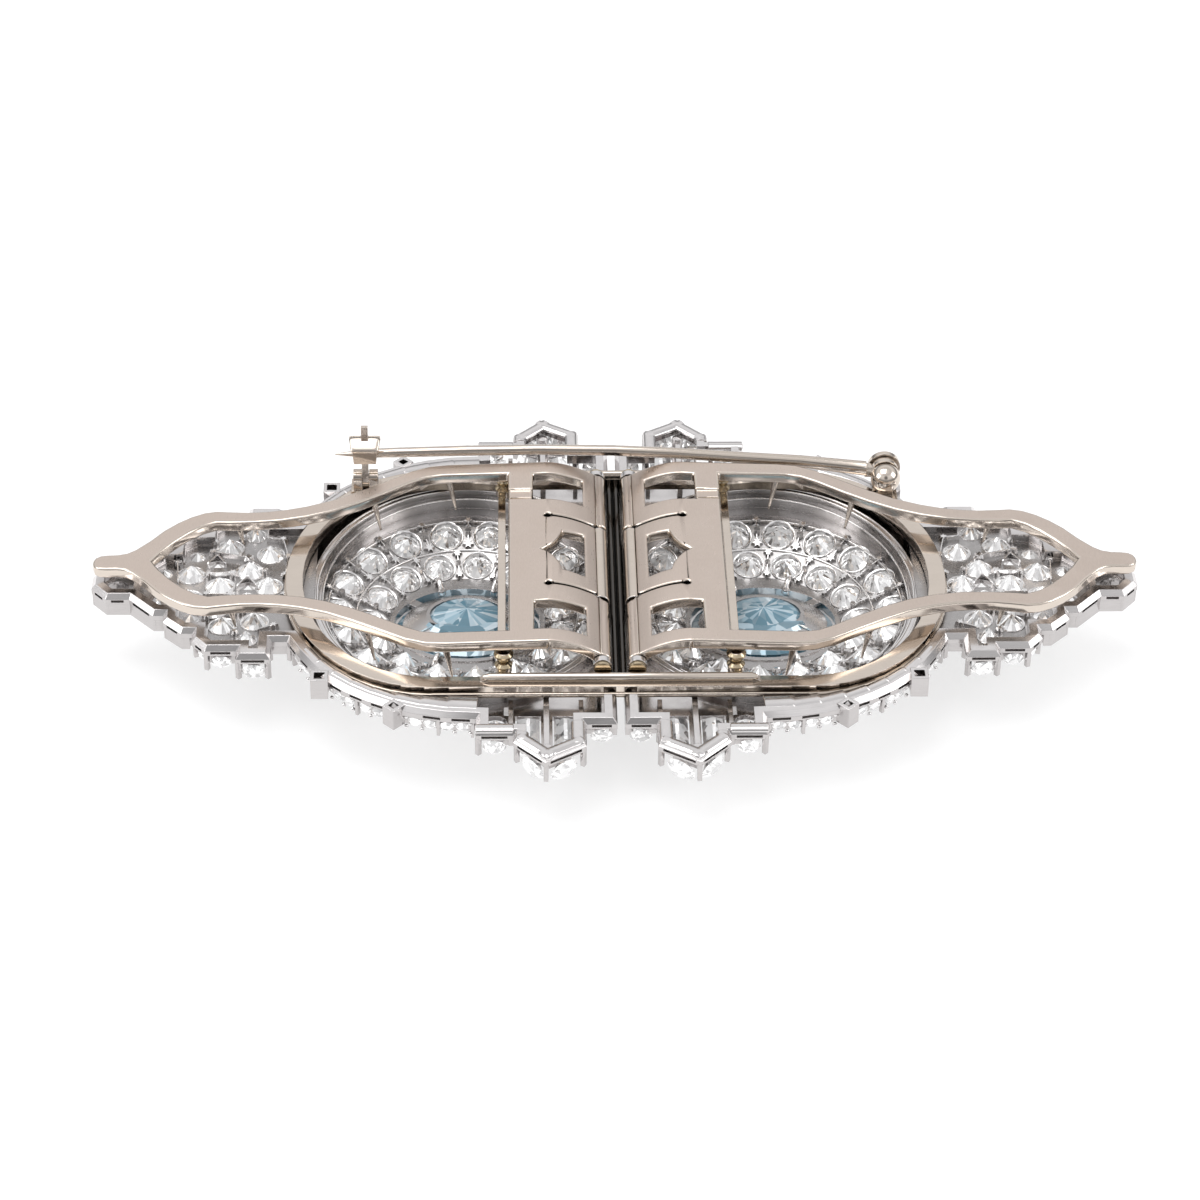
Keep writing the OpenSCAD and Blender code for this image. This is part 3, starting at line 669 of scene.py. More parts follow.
@dataclass
class Studio:
    """White floor, bright tent and soft lamps."""

    floor_m: float = 1.6
    floor_drop: float = 0.03
    floor_white: float = 0.46
    floor_glow: float = 0.60
    tent: float = 0.95
    # Z of a direction, and how bright the tent is there.
    tent_greys: tuple[Pair, ...] = (
        (0.0, 0.55), (0.10, 0.24), (0.24, 0.34), (0.42, 0.86), (0.70, 0.98), (0.84, 0.70), (1.0, 0.95))
    # The dark card at the camera: its direction, the cosines of its soft edge, its grey.
    card_aim: Point = (-0.02, -0.81, 0.585)
    card_edge: Pair = (0.955, 0.985)
    card_grey: float = 0.25
    key_watts: float = 0.85
    key_m: float = 0.34
    fill_watts: float = 0.55
    fill_m: float = 0.26

    def build(self) -> None:
        """Make the floor, the tent's light and the lamps."""
        self._floor()
        self._tent()
        self._lamp("key_lamp", (-0.12, 0.02, 0.46), self.key_m, self.key_watts)
        self._lamp("right_lamp", (0.42, -0.06, 0.26), self.fill_m, self.fill_watts)
        self._lamp("left_lamp", (-0.42, -0.10, 0.24), self.fill_m, self.fill_watts)
        scene = bpy.context.scene
        scene.view_settings.view_transform = "Standard"
        scene.view_settings.look = "None"

    def _floor(self) -> None:
        """A pale sheet under the brooch."""
        clear_selection()
        bpy.ops.mesh.primitive_plane_add(size=self.floor_m, location=(0, 0, -self.floor_drop * MM))
        floor = bpy.context.view_layer.objects.active
        floor.name = "white_floor"
        board = NodeBoard("white_paper")
        shader = board.shader
        grain = board.spread(board.noise((0.6, 0.6, 0.6), 5.0), 0.3, 0.7, 0.0, 1.0)
        white, greyer = (self.floor_white,) * 3, (self.floor_white * 0.99,) * 3
        board.join(board.blend(grain, rgba(white), rgba(greyer)), shader.inputs["Base Color"])
        shader.inputs["Roughness"].default_value = 0.9
        shader.inputs["Emission Color"].default_value = (1, 1, 1, 1)
        shader.inputs["Emission Strength"].default_value = self.floor_glow
        shader.inputs["Specular IOR Level"].default_value = 0.1
        floor.data.materials.append(board.material)

    def _tent(self) -> None:
        """World light: white above, greyer at the sides, dark where the camera stands."""
        world = bpy.data.worlds.new("tent")
        bpy.context.scene.world = world
        world.use_nodes = True
        tree = world.node_tree
        tree.nodes.clear()
        way = tree.nodes.new("ShaderNodeTexCoord")
        split = tree.nodes.new("ShaderNodeSeparateXYZ")
        ramp = tree.nodes.new("ShaderNodeValToRGB")
        tree.links.new(way.outputs["Generated"], split.inputs[0])
        tree.links.new(split.outputs["Z"], ramp.inputs[0])
        stops = ramp.color_ramp.elements
        stops[0].position, stops[1].position = self.tent_greys[0][0], self.tent_greys[-1][0]
        for place, _ in self.tent_greys[1:-1]:
            stops.new(place)
        for stop, (_, grey) in zip(stops, self.tent_greys):
            stop.color = (grey, grey, grey * 1.01, 1)
        aim = tree.nodes.new("ShaderNodeVectorMath")
        aim.operation = "DOT_PRODUCT"
        aim.inputs[1].default_value = self.card_aim
        tree.links.new(way.outputs["Generated"], aim.inputs[0])
        card = tree.nodes.new("ShaderNodeMapRange")
        for key, number in enumerate((*self.card_edge, 1.0, self.card_grey), start=1):
            card.inputs[key].default_value = number
        tree.links.new(aim.outputs["Value"], card.inputs[0])
        strength = tree.nodes.new("ShaderNodeMath")
        strength.operation = "MULTIPLY"
        strength.inputs[1].default_value = self.tent
        tree.links.new(card.outputs[0], strength.inputs[0])
        glow = tree.nodes.new("ShaderNodeBackground")
        output = tree.nodes.new("ShaderNodeOutputWorld")
        tree.links.new(ramp.outputs[0], glow.inputs["Color"])
        tree.links.new(strength.outputs[0], glow.inputs["Strength"])
        tree.links.new(glow.outputs[0], output.inputs[0])

    def _lamp(self, name: str, place: Point, size: float, watts: float) -> None:
        """One soft square lamp that faces the brooch.

        Args:
            name: The lamp's name.
            place: Its place, in metres.
            size: Its side, in metres.
            watts: Its power.
        """
        data = bpy.data.lights.new(name, "AREA")
        data.size = size
        data.energy = watts
        lamp = bpy.data.objects.new(name, data)
        lamp.location = place
        lamp.rotation_euler = Vector(place).to_track_quat("Z", "Y").to_euler()
        bpy.context.scene.collection.objects.link(lamp)


# Small shapes, modelled once.


def turned(name: str, profile: Sequence[Pair], sides: int) -> bpy.types.Object:
    """Model a round piece by drawing a disc upwards, ring after ring.

    Args:
        name: The piece's name.
        profile: Radius and height of each ring, in millimetres, from the bottom up.
        sides: Number of sides.

    Returns:
        The piece, round the origin's Z axis.
    """
    clear_selection()
    first_radius, height = profile[0]
    bpy.ops.mesh.primitive_circle_add(
        vertices=sides, radius=first_radius * MM, fill_type="NGON", location=(0, 0, height * MM))
    item = bpy.context.view_layer.objects.active
    item.name = name
    bpy.ops.object.transform_apply(location=True, rotation=True, scale=True)
    bpy.ops.object.mode_set(mode="EDIT")
    bpy.ops.mesh.select_all(action="SELECT")
    radius = first_radius
    for next_radius, next_height in profile[1:]:
        bpy.ops.mesh.extrude_region_move(
            TRANSFORM_OT_translate={"value": (0, 0, (next_height - height) * MM)})
        share = next_radius / radius
        bpy.ops.transform.resize(value=(share, share, 1), center_override=(0, 0, 0))
        radius, height = next_radius, next_height
    outward_faces(item)
    return item


def star_shape() -> bpy.types.Object:
    """Model a six-pointed grain of radius 1 mm: a disc, every other corner drawn in, its edge sloping."""
    clear_selection()
    bpy.ops.mesh.primitive_cylinder_add(vertices=12, radius=MM, depth=0.3 * MM)
    item = bpy.context.view_layer.objects.active
    bpy.ops.object.mode_set(mode="EDIT")
    squeeze(item, lambda v: round(math.degrees(math.atan2(v.x, v.y)) / 30) % 2 == 1, (0.44, 0.44, 1))
    squeeze(item, lambda v: v.z > 0, (0.74, 0.74, 1))
    outward_faces(item)
    return item


def bar_shape() -> bpy.types.Object:
    """Model a ridge 1 mm long, 1 mm wide and 1 mm high, its top narrower than its foot."""
    clear_selection()
    bpy.ops.mesh.primitive_cube_add(size=MM, location=(0, 0, 0))
    item = bpy.context.view_layer.objects.active
    bpy.ops.object.mode_set(mode="EDIT")
    squeeze(item, lambda v: v.z > 0, (1, 0.5, 1))
    bpy.ops.mesh.select_all(action="SELECT")
    bpy.ops.mesh.bevel(offset=0.1 * MM, segments=1, affect="EDGES")
    outward_faces(item)
    return item


def bead_shape() -> bpy.types.Object:
    """Model a domed bead of radius 1 mm, its lower half cut away."""
    clear_selection()
    bpy.ops.mesh.primitive_uv_sphere_add(segments=12, ring_count=8, radius=MM)
    item = bpy.context.view_layer.objects.active
    bpy.ops.object.mode_set(mode="EDIT")
    bpy.ops.mesh.select_all(action="SELECT")
    bpy.ops.mesh.bisect(plane_co=(0, 0, -0.2 * MM), plane_no=(0, 0, 1), use_fill=True, clear_inner=True)
    outward_faces(item)
    shade(item, 40)
    return item


def arch_shape() -> bpy.types.Object:
    """Model a claw that bends over like a bridge along X, wider at its feet."""
    clear_selection()
    bpy.ops.mesh.primitive_torus_add(
        major_radius=0.62 * MM, minor_radius=0.23 * MM, major_segments=24, minor_segments=12,
        rotation=(math.pi / 2, 0, 0))
    item = bpy.context.view_layer.objects.active
    bpy.ops.object.transform_apply(location=True, rotation=True, scale=True)
    bpy.ops.object.mode_set(mode="EDIT")
    bpy.ops.mesh.select_all(action="SELECT")
    bpy.ops.mesh.bisect(plane_co=(0, 0, -0.3 * MM), plane_no=(0, 0, 1), use_fill=True, clear_inner=True)
    squeeze(item, lambda v: v.z < 0.25 * MM, (1.08, 1.5, 1))
    outward_faces(item)
    shade(item, 60)
    return item


def seat_shape() -> bpy.types.Object:
    """Model the bright-cut edge of a stone's seat: a wire ring of outer radius 1 mm, flattened."""
    clear_selection()
    bpy.ops.mesh.primitive_torus_add(
        major_radius=0.94 * MM, minor_radius=0.06 * MM, major_segments=24, minor_segments=6)
    item = bpy.context.view_layer.objects.active
    bpy.ops.object.mode_set(mode="EDIT")
    squeeze(item, lambda v: math.hypot(v.x, v.y) < 0.91 * MM, (0.97, 0.97, 0.4))
    outward_faces(item)
    shade(item, 60)
    return item


def wire_shape() -> bpy.types.Object:
    """Model a round bar 1 mm long and 1 mm thick along X, its ends domed."""
    item = turned("wire", ((0.34, -0.5), (0.5, -0.47), (0.5, 0.47), (0.34, 0.5)), 12)
    item.rotation_euler = (0, math.pi / 2, 0)
    fix_place(item)
    shade(item, 50)
    return item


def oval_wire(side: Side, centre: float, along: float, across: float, height: float, thickness: float,
              start_x: float) -> bpy.types.Object:
    """Model an oval wire on one side of the brooch, cut off towards the middle.

    Args:
        side: The side.
        centre: Distance of the oval's middle from the brooch's, in millimetres.
        along: Half its length along X.
        across: Half its width along Y.
        height: Z of its middle.
        thickness: The wire's radius.
        start_x: Distance from the brooch's middle at which it is cut off.

    Returns:
        The wire.
    """
    clear_selection()
    bpy.ops.mesh.primitive_torus_add(
        major_radius=along * MM, minor_radius=thickness * MM, major_segments=96, minor_segments=8,
        location=(side.value * centre * MM, 0, height * MM))
    item = bpy.context.view_layer.objects.active
    item.scale = (1, across / along, 1)
    bpy.ops.object.transform_apply(location=True, rotation=True, scale=True)
    bpy.ops.object.mode_set(mode="EDIT")
    bpy.ops.mesh.select_all(action="SELECT")
    bpy.ops.mesh.bisect(plane_co=(side.value * start_x * MM, 0, 0), plane_no=(side.value, 0, 0),
                        use_fill=True, clear_inner=True)
    outward_faces(item)
    shade(item, 50)
    return item


@dataclass
class Masters:
    """The small shapes that the metalwork repeats; dropped when it is done."""

    star: bpy.types.Object = field(default_factory=star_shape)
    bar: bpy.types.Object = field(default_factory=bar_shape)
    bead: bpy.types.Object = field(default_factory=bead_shape)
    arch: bpy.types.Object = field(default_factory=arch_shape)
    seat: bpy.types.Object = field(default_factory=seat_shape)
    wire: bpy.types.Object = field(default_factory=wire_shape)

    def clear(self) -> None:
        """Remove the masters."""
        for entry in fields(self):
            drop(getattr(self, entry.name))


# Metalwork between the stones.


@dataclass
class Metalwork:
    """Gathers copies of the small shapes for one clip and joins them into one piece."""

    side: Side
    masters: Masters
    pieces: list[bpy.types.Object] = field(default_factory=list)

    def put(self, master: bpy.types.Object, place: Point, turn: float, lean: float = 0.0,
            size: Point = (1, 1, 1)) -> None:
        """Copy a shape to a place given for the right clip, mirrored for the left one.

        Args:
            master: The shape.
            place: Its place on the right clip, in millimetres.
            turn: Its heading there, in degrees.
            lean: How far it leans back against its heading, in degrees.
            size: Its scale.
        """
        heading = turn if self.side is Side.RIGHT else 180 - turn
        spot = (place[0] * self.side.value, place[1], place[2])
        self.pieces.append(copy_to(master, spot, (0, -math.radians(lean), math.radians(heading)), size))

    def ridge(self, start: Pair, end: Pair, height: float, width: float, tall: float) -> None:
        """Lay a level ridge between two points of the right clip.

        Args:
            start: X and Y of one end, in millimetres.
            end: X and Y of the other end.
            height: Z of its foot.
            width: Its width.
            tall: Its height.
        """
        span = Vector(end) - Vector(start)
        middle = (Vector(end) + Vector(start)) / 2
        heading = math.degrees(math.atan2(span.y, span.x))
        place = (middle.x, middle.y, height + tall / 2)
        self.put(self.masters.bar, place, heading, 0.0, (span.length, width, tall))

    def finish(self, name: str, finish: bpy.types.Material) -> None:
        """Join the pieces and hand them over, as platinum on the brooch.

        Args:
            name: The start of the joined piece's name.
            finish: Its material.
        """
        joined = join_all(self.pieces, f"{name}_{self.side.word}")
        hand_over(joined, finish, "brooch", Slot.PLATINUM)


@dataclass
class BowlSurface:
    """The two sloping bands of the bowl round the large stone, as the solids have them."""

    centre_mm: float = BOWL_X
    lip_mm: float = 11.0
    bend_mm: float = 8.6
    lip_z: float = 4.35
    plate_mm: float = 0.35
    outer_slope: float = 25.0
    inner_slope: float = 22.0

    def top(self, radius: float) -> float:
        """Height of the bands' upper face at a radius from the bowl's middle, in millimetres."""
        outer, inner = (math.tan(math.radians(slope)) for slope in (self.outer_slope, self.inner_slope))
        bend_z = self.lip_z - (self.lip_mm - self.bend_mm) * outer
        if radius >= self.bend_mm:
            return bend_z + (radius - self.bend_mm) * outer + self.plate_mm
        return bend_z - (self.bend_mm - radius) * inner + self.plate_mm

    def slope(self, radius: float) -> float:
        """Slope of the band at a radius, in degrees."""
        return self.outer_slope if radius >= self.bend_mm else self.inner_slope

    def spot(self, radius: float, angle: float, lift: float = 0.0) -> Point:
        """Place on the upper face, by radius and angle, in millimetres."""
        turn = math.radians(angle)
        x = self.centre_mm + radius * math.cos(turn)
        return (x, radius * math.sin(turn), self.top(radius) + lift)


@dataclass(frozen=True)
class StoneRow:
    """One round of stones in the bowl and the metal between them, by distances from the bowl's middle."""

    count: int
    stones_at: float
    seat_radius: float
    first_star_at: float
    first_star_radius: float
    second_star_at: float
    second_star_radius: float
    ridge: Pair


@dataclass
class BowlGrains:
    """Star-cut grains, ridges and claws that hold the bowl's stones and the large stone."""

    side: Side
    masters: Masters
    finish: bpy.types.Material
    surface: BowlSurface = field(default_factory=BowlSurface)
    rows: tuple[StoneRow, StoneRow] = (
        StoneRow(count=18, stones_at=9.9, seat_radius=1.36, first_star_at=8.98, first_star_radius=0.54,
                 second_star_at=10.95, second_star_radius=0.42, ridge=(8.9, 10.9)),
        StoneRow(count=15, stones_at=7.3, seat_radius=1.31, first_star_at=8.22, first_star_radius=0.46,
                 second_star_at=6.35, second_star_radius=0.36, ridge=(6.3, 8.2)))
    star_lift: float = 0.12
    star_tall: float = 1.5
    ridge_lift: float = 0.10
    ridge_wide: float = 0.2
    ridge_tall: float = 0.4
    claw_place: Point = (2.27, 4.95, 2.62)
    claw_turn: float = 0.8
    inner_end_x: float = 1.0
    wire_lift: float = 0.02
    inner_wire_at: float = 5.75
    inner_wire: float = 0.10
    bend_wire: float = 0.12
    step_wire: float = 0.09
    # Half length, half width and height of the wire on each step.
    steps: tuple[Point, ...] = (
        (11.95, 13.85, 6.09), (11.53, 13.43, 6.09), (11.13, 13.03, 5.49), (10.72, 11.1, 4.66))

    def build(self) -> None:
        """Lay the grains, ridges, seats and claws, then the wires along the bowl's steps."""
        work = Metalwork(self.side, self.masters)
        for row in self.rows:
            for k in range(row.count):
                angle = (k + 0.5) * 360 / row.count
                self._grain(work, row.first_star_at, angle, row.first_star_radius)
                self._grain(work, row.second_star_at, angle, row.second_star_radius)
                self._spoke(work, *row.ridge, angle)
        for row in self.rows:
            for k in range(row.count):
                self._seat(work, row.stones_at, k * 360 / row.count, row.seat_radius)
        for across in (-1, 1):
            for along in (-1, 1):
                self._claw(work, along, across)
        rounds = ((self.surface.bend_mm, self.bend_wire), (self.inner_wire_at, self.inner_wire))
        for radius, wire in rounds:
            level = self.surface.top(radius) + self.wire_lift
            work.pieces.append(self._ring(radius, radius, level, wire))
        for along, across, height in self.steps:
            work.pieces.append(self._ring(along, across, height, self.step_wire))
        work.finish("bowl_grains", self.finish)

    def _grain(self, work: Metalwork, radius: float, angle: float, size: float) -> None:
        """Set one star on the band, unless the other clip is in the way."""
        place = self.surface.spot(radius, angle, self.star_lift)
        if place[0] > self.inner_end_x:
            scale = (size, size, self.star_tall)
            work.put(self.masters.star, place, angle, self.surface.slope(radius), scale)

    def _spoke(self, work: Metalwork, start: float, end: float, angle: float) -> None:
        """Lay a ridge up the band between two stones of a row."""
        radius = (start + end) / 2
        slope = self.surface.slope(radius)
        place = self.surface.spot(radius, angle, self.ridge_lift)
        if self.surface.spot(start, angle)[0] > self.inner_end_x:
            length = (end - start) / math.cos(math.radians(slope))
            work.put(self.masters.bar, place, angle, slope, (length, self.ridge_wide, self.ridge_tall))

    def _seat(self, work: Metalwork, radius: float, angle: float, size: float) -> None:
        """Edge one stone's seat with a bright ring."""
        place = self.surface.spot(radius, angle, 0.0)
        if place[0] > self.inner_end_x + size:
            work.put(self.masters.seat, place, angle, self.surface.slope(radius), (size,) * 3)

    def _claw(self, work: Metalwork, along: int, across: int) -> None:
        """Bend a claw from the bowl's inner edge over the large stone's wall, at one of four corners."""
        x, y, height = self.claw_place
        x, y = x * along, y * across
        heading = math.degrees(math.atan2(y, x * self.claw_turn))
        work.put(self.masters.arch, (self.surface.centre_mm + x, y, height), heading)

    def _ring(self, along: float, across: float, height: float, thickness: float) -> bpy.types.Object:
        """Lay an oval wire in the bowl, cut off at the clip's inner end."""
        centre = self.surface.centre_mm
        return oval_wire(self.side, centre, along, across, height, thickness, self.inner_end_x)


@dataclass
class TipGrains:
    """Grains, ridges and raised frames between the stones of one clip's tip."""

    side: Side
    masters: Masters
    finish: bpy.types.Material
    floor_z: float = 6.25
    star_lift: float = 0.22
    star_tall: float = 1.8
    star_turn: int = 30
    seat_rim: float = 0.05
    foot_sink: float = 0.05
    ridge_wide: float = 0.2
    ridge_tall: float = 0.5
    frame_wide: float = 0.26
    frame_tall: float = 0.6
    frame_reach: float = 1.35
    frame_foot: Pair = (0.87, 0.5)
    # X, Y and radius of each star.
    stars: tuple[Point, ...] = (
        (29.6, 1.42, 0.5), (29.6, -1.42, 0.5), (31.45, 1.35, 0.42), (31.45, -1.35, 0.42),
        (27.15, 1.75, 0.42), (27.15, -1.75, 0.42), (28.45, 3.45, 0.5), (28.75, -3.35, 0.48),
        (31.25, 4.25, 0.45), (31.25, -4.25, 0.45), (33.95, 2.95, 0.42), (33.95, -2.95, 0.42),
        (29.05, 6.2, 0.4), (29.05, -6.2, 0.4), (25.55, 1.2, 0.42), (25.5, -1.4, 0.42), (25.4, 3.6, 0.45),
        (25.9, 5.9, 0.45), (26.1, -5.4, 0.45), (31.2, 5.6, 0.35))
    # X and Y of each ridge's ends.
    ridges: tuple[tuple[Pair, Pair], ...] = (
        ((29.6, 1.42), (31.45, 1.35)), ((29.6, -1.42), (31.45, -1.35)), ((28.45, 3.45), (31.25, 4.25)),
        ((28.75, -3.35), (31.25, -4.25)), ((27.15, 1.75), (28.45, 3.45)), ((25.4, 3.6), (25.55, 1.2)),
        ((25.4, 3.6), (25.9, 5.9)), ((33.95, 2.95), (33.75, 0.2)), ((33.95, -2.95), (33.75, -0.2)),
        ((25.9, 5.9), (27.2, 6.1)), ((26.1, -5.4), (27.3, -6.0)))
    # X, Y and radius of each open piercing.
    frames: tuple[Point, ...] = ((28.4, 0.0, 0.65), (30.9, 2.9, 0.6))
    # X, Y and width of each stone.
    seats: tuple[Point, ...] = (
        (30.5, 0, 2.3), (26.75, 0, 2.2), (32.8, 1.56, 2.3), (32.8, -1.56, 2.3), (30.0, 5.1, 2.2),
        (30.0, -5.1, 2.2), (26.8, 4.2, 2.2), (27.6, -4.6, 2.2), (28.3, 2.0, 2.2), (28.3, -2.0, 2.2),
        (28.1, 6.8, 1.7), (28.1, -6.9, 1.6))

    def build(self) -> None:
        """Lay the stars and ridges, then a raised frame round each open piercing."""
        work = Metalwork(self.side, self.masters)
        foot_z = self.floor_z - self.foot_sink
        for x, y, size in self.stars:
            place = (x, y, self.floor_z + self.star_lift)
            turn = self.star_turn * round(x + y)
            work.put(self.masters.star, place, turn, 0.0, (size, size, self.star_tall))
        for x, y, width in self.seats:
            work.put(self.masters.seat, (x, y, self.floor_z), 0.0, 0.0, (width / 2 + self.seat_rim,) * 3)
        for start, end in self.ridges:
            work.ridge(start, end, foot_z, self.ridge_wide, self.ridge_tall)
        for x, y, radius in self.frames:
            reach = radius * self.frame_reach
            apex = (x, y + reach)
            for way in (-1, 1):
                foot = (x + way * reach * self.frame_foot[0], y - reach * self.frame_foot[1])
                work.ridge(apex, foot, foot_z, self.frame_wide, self.frame_tall)
        work.finish("tip_grains", self.finish)


@dataclass
class RimBeads:
    """Pairs of small beads between the stones in the oval band's side."""

    side: Side
    masters: Masters
    finish: bpy.types.Material
    band: tuple[Pair, ...] = OVAL_BAND
    band_end_way: Pair = (0.5, -0.85)
    spots: tuple[float, ...] = (0.4, 1.58, 4.06, 5.3, 8.26, 9.9, 10.76, 12.0, 13.9, 15.05, 16.25)
    levels: Pair = (6.12, 5.2)
    size_mm: float = 0.19
    out_mm: float = 0.18
    lean: float = -80.0

    def build(self) -> None:
        """Set a bead above and below each gap, on both long edges."""
        work = Metalwork(self.side, self.masters)
        for distance in self.spots:
            (x, y), (dx, dy) = self._along(distance)
            for edge in (-1, 1):
                heading = math.degrees(math.atan2(edge * dx, -dy))
                for level in self.levels:
                    place = (x + self.out_mm * dy, edge * (y - self.out_mm * dx), level)
                    work.put(self.masters.bead, place, heading, self.lean, (self.size_mm,) * 3)
        work.finish("rim_beads", self.finish)

    def _along(self, distance: float) -> tuple[Pair, Pair]:
        """Point at a distance along the band, and the band's direction there."""
        for start, end in zip(self.band, self.band[1:]):
            length = math.dist(start, end)
            if distance <= length:
                step = ((end[0] - start[0]) / length, (end[1] - start[1]) / length)
                return (start[0] + step[0] * distance, start[1] + step[1] * distance), step
            distance -= length
        return self.band[-1], self.band_end_way


@dataclass
class RimRolls:
    """The rounded band along the rim's top: wide beside the oval band, plain round the motif."""

    side: Side
    masters: Masters
    finish: bpy.types.Material
    motif: tuple[Pair, ...] = (
        (2.60, 17.9), (2.60, 20.5), (5.60, 22.4), (7.95, 20.0), (7.95, 19.2), (10.70, 19.2))
    motif_width: float = 1.05
    motif_edge: float = 0.08
    band: tuple[Pair, ...] = OVAL_BAND
    band_width: tuple[float, ...] = (2.1, 1.75, 1.4, 1.1, 1.0, 0.95, 0.85, 0.75)
    band_edge: float = 0.4
    level: float = 6.86
    height: float = 0.52
    overlap: float = 0.12

    def build(self) -> None:
        """Lay a rounded bar on each side of the outline, on both long edges."""
        work = Metalwork(self.side, self.masters)
        for start, end in zip(self.motif, self.motif[1:]):
            self._roll(work, start, end, self.motif_width, self.motif_edge)
        for start, end, width in zip(self.band, self.band[1:], self.band_width):
            self._roll(work, start, end, width, self.band_edge)
        work.finish("rim_rolls", self.finish)

    def _roll(self, work: Metalwork, start: Pair, end: Pair, width: float, edge: float) -> None:
        """Lay one bar beside a side of the rim, on both long edges.

        Args:
            work: What gathers the pieces.
            start: X and Y of the side's first corner, in millimetres.
            end: X and Y of its second corner.
            width: The bar's width.
            edge: How far inside the outline it begins.
        """
        span = Vector(end) - Vector(start)
        inward = Vector((span.y, -span.x)).normalized() * (edge + width / 2)
        middle = (Vector(start) + Vector(end)) / 2 + inward
        heading = math.degrees(math.atan2(span.y, span.x))
        size = (span.length + self.overlap, width, self.height)
        for way in (-1, 1):
            place = (middle.x, way * middle.y, self.level)
            work.put(self.masters.wire, place, way * heading, 0.0, size)


@dataclass
class LargeStone:
    """The large oval stone, cut finer than its solid: narrow facets run from the girdle to the point."""

    side: Side
    finish: bpy.types.Material
    half_long_mm: float = 5.6
    half_wide_mm: float = 4.5
    girdle_z: float = 1.95
    centre_mm: float = BOWL_X
    sides: int = 28
    # Share of the girdle's radius and height above the girdle, from the table to the point.
    rings: tuple[Pair, ...] = (
        (0.56, -1.95), (0.78, -1.21), (1.0, 0.0), (1.0, 0.05), (0.56, 1.30), (0.47, 1.66), (0.02, 2.2))
    turned_rings: tuple[int, ...] = (4, 5)
    shoulder: tuple[Pair, ...] = ((0.915, 0.64), (0.66, 1.34), (0.585, 1.76))
    shoulder_y: float = -1.4

    def build(self) -> None:
        """Model it in the collet, table down, with the part that the open near side shows."""
        stone = self._stone()
        stone = join_all([stone, self._near_shoulder()], stone.name)
        stone.scale = (self.half_long_mm, self.half_wide_mm, 1)
        stone.location = Vector((self.side.value * self.centre_mm, 0, self.girdle_z)) * MM
        fix_place(stone)
        hand_over(stone, self.finish, "brooch", Slot.AQUAMARINE, f"aquamarine_{self.side.word}")

    def _stone(self) -> bpy.types.Object:
        """Draw the stone ring by ring, with the rings near the point turned by half a facet."""
        stone = turned(f"large_stone_{self.side.word}", self.rings, self.sides)
        bpy.ops.object.mode_set(mode="EDIT")
        twist = math.pi / self.sides
        for index in self.turned_rings:
            level = self.rings[index][1] * MM
            pick_vertices(stone, lambda v, z=level: abs(v.z - z) < SAME_LEVEL_M)
            bpy.ops.transform.rotate(value=-twist, orient_axis="Z", center_override=(0, 0, 0))
        bpy.ops.mesh.select_all(action="SELECT")
        bpy.ops.mesh.quads_convert_to_tris(quad_method="BEAUTY", ngon_method="BEAUTY")
        outward_faces(stone)
        return stone

    def _near_shoulder(self) -> bpy.types.Object:
        """Draw the part of the stone's flank that the collet's open near side shows."""
        near = turned("near_shoulder", self.shoulder, self.sides)
        bpy.ops.object.mode_set(mode="EDIT")
        bpy.ops.mesh.select_all(action="SELECT")
        bpy.ops.mesh.quads_convert_to_tris(quad_method="FIXED", ngon_method="BEAUTY")
        bpy.ops.mesh.select_all(action="SELECT")
        cut = (0, self.shoulder_y / self.half_wide_mm * MM, 0)
        bpy.ops.mesh.bisect(plane_co=cut, plane_no=(0, 1, 0), use_fill=True, clear_outer=True)
        outward_faces(near)
        return near


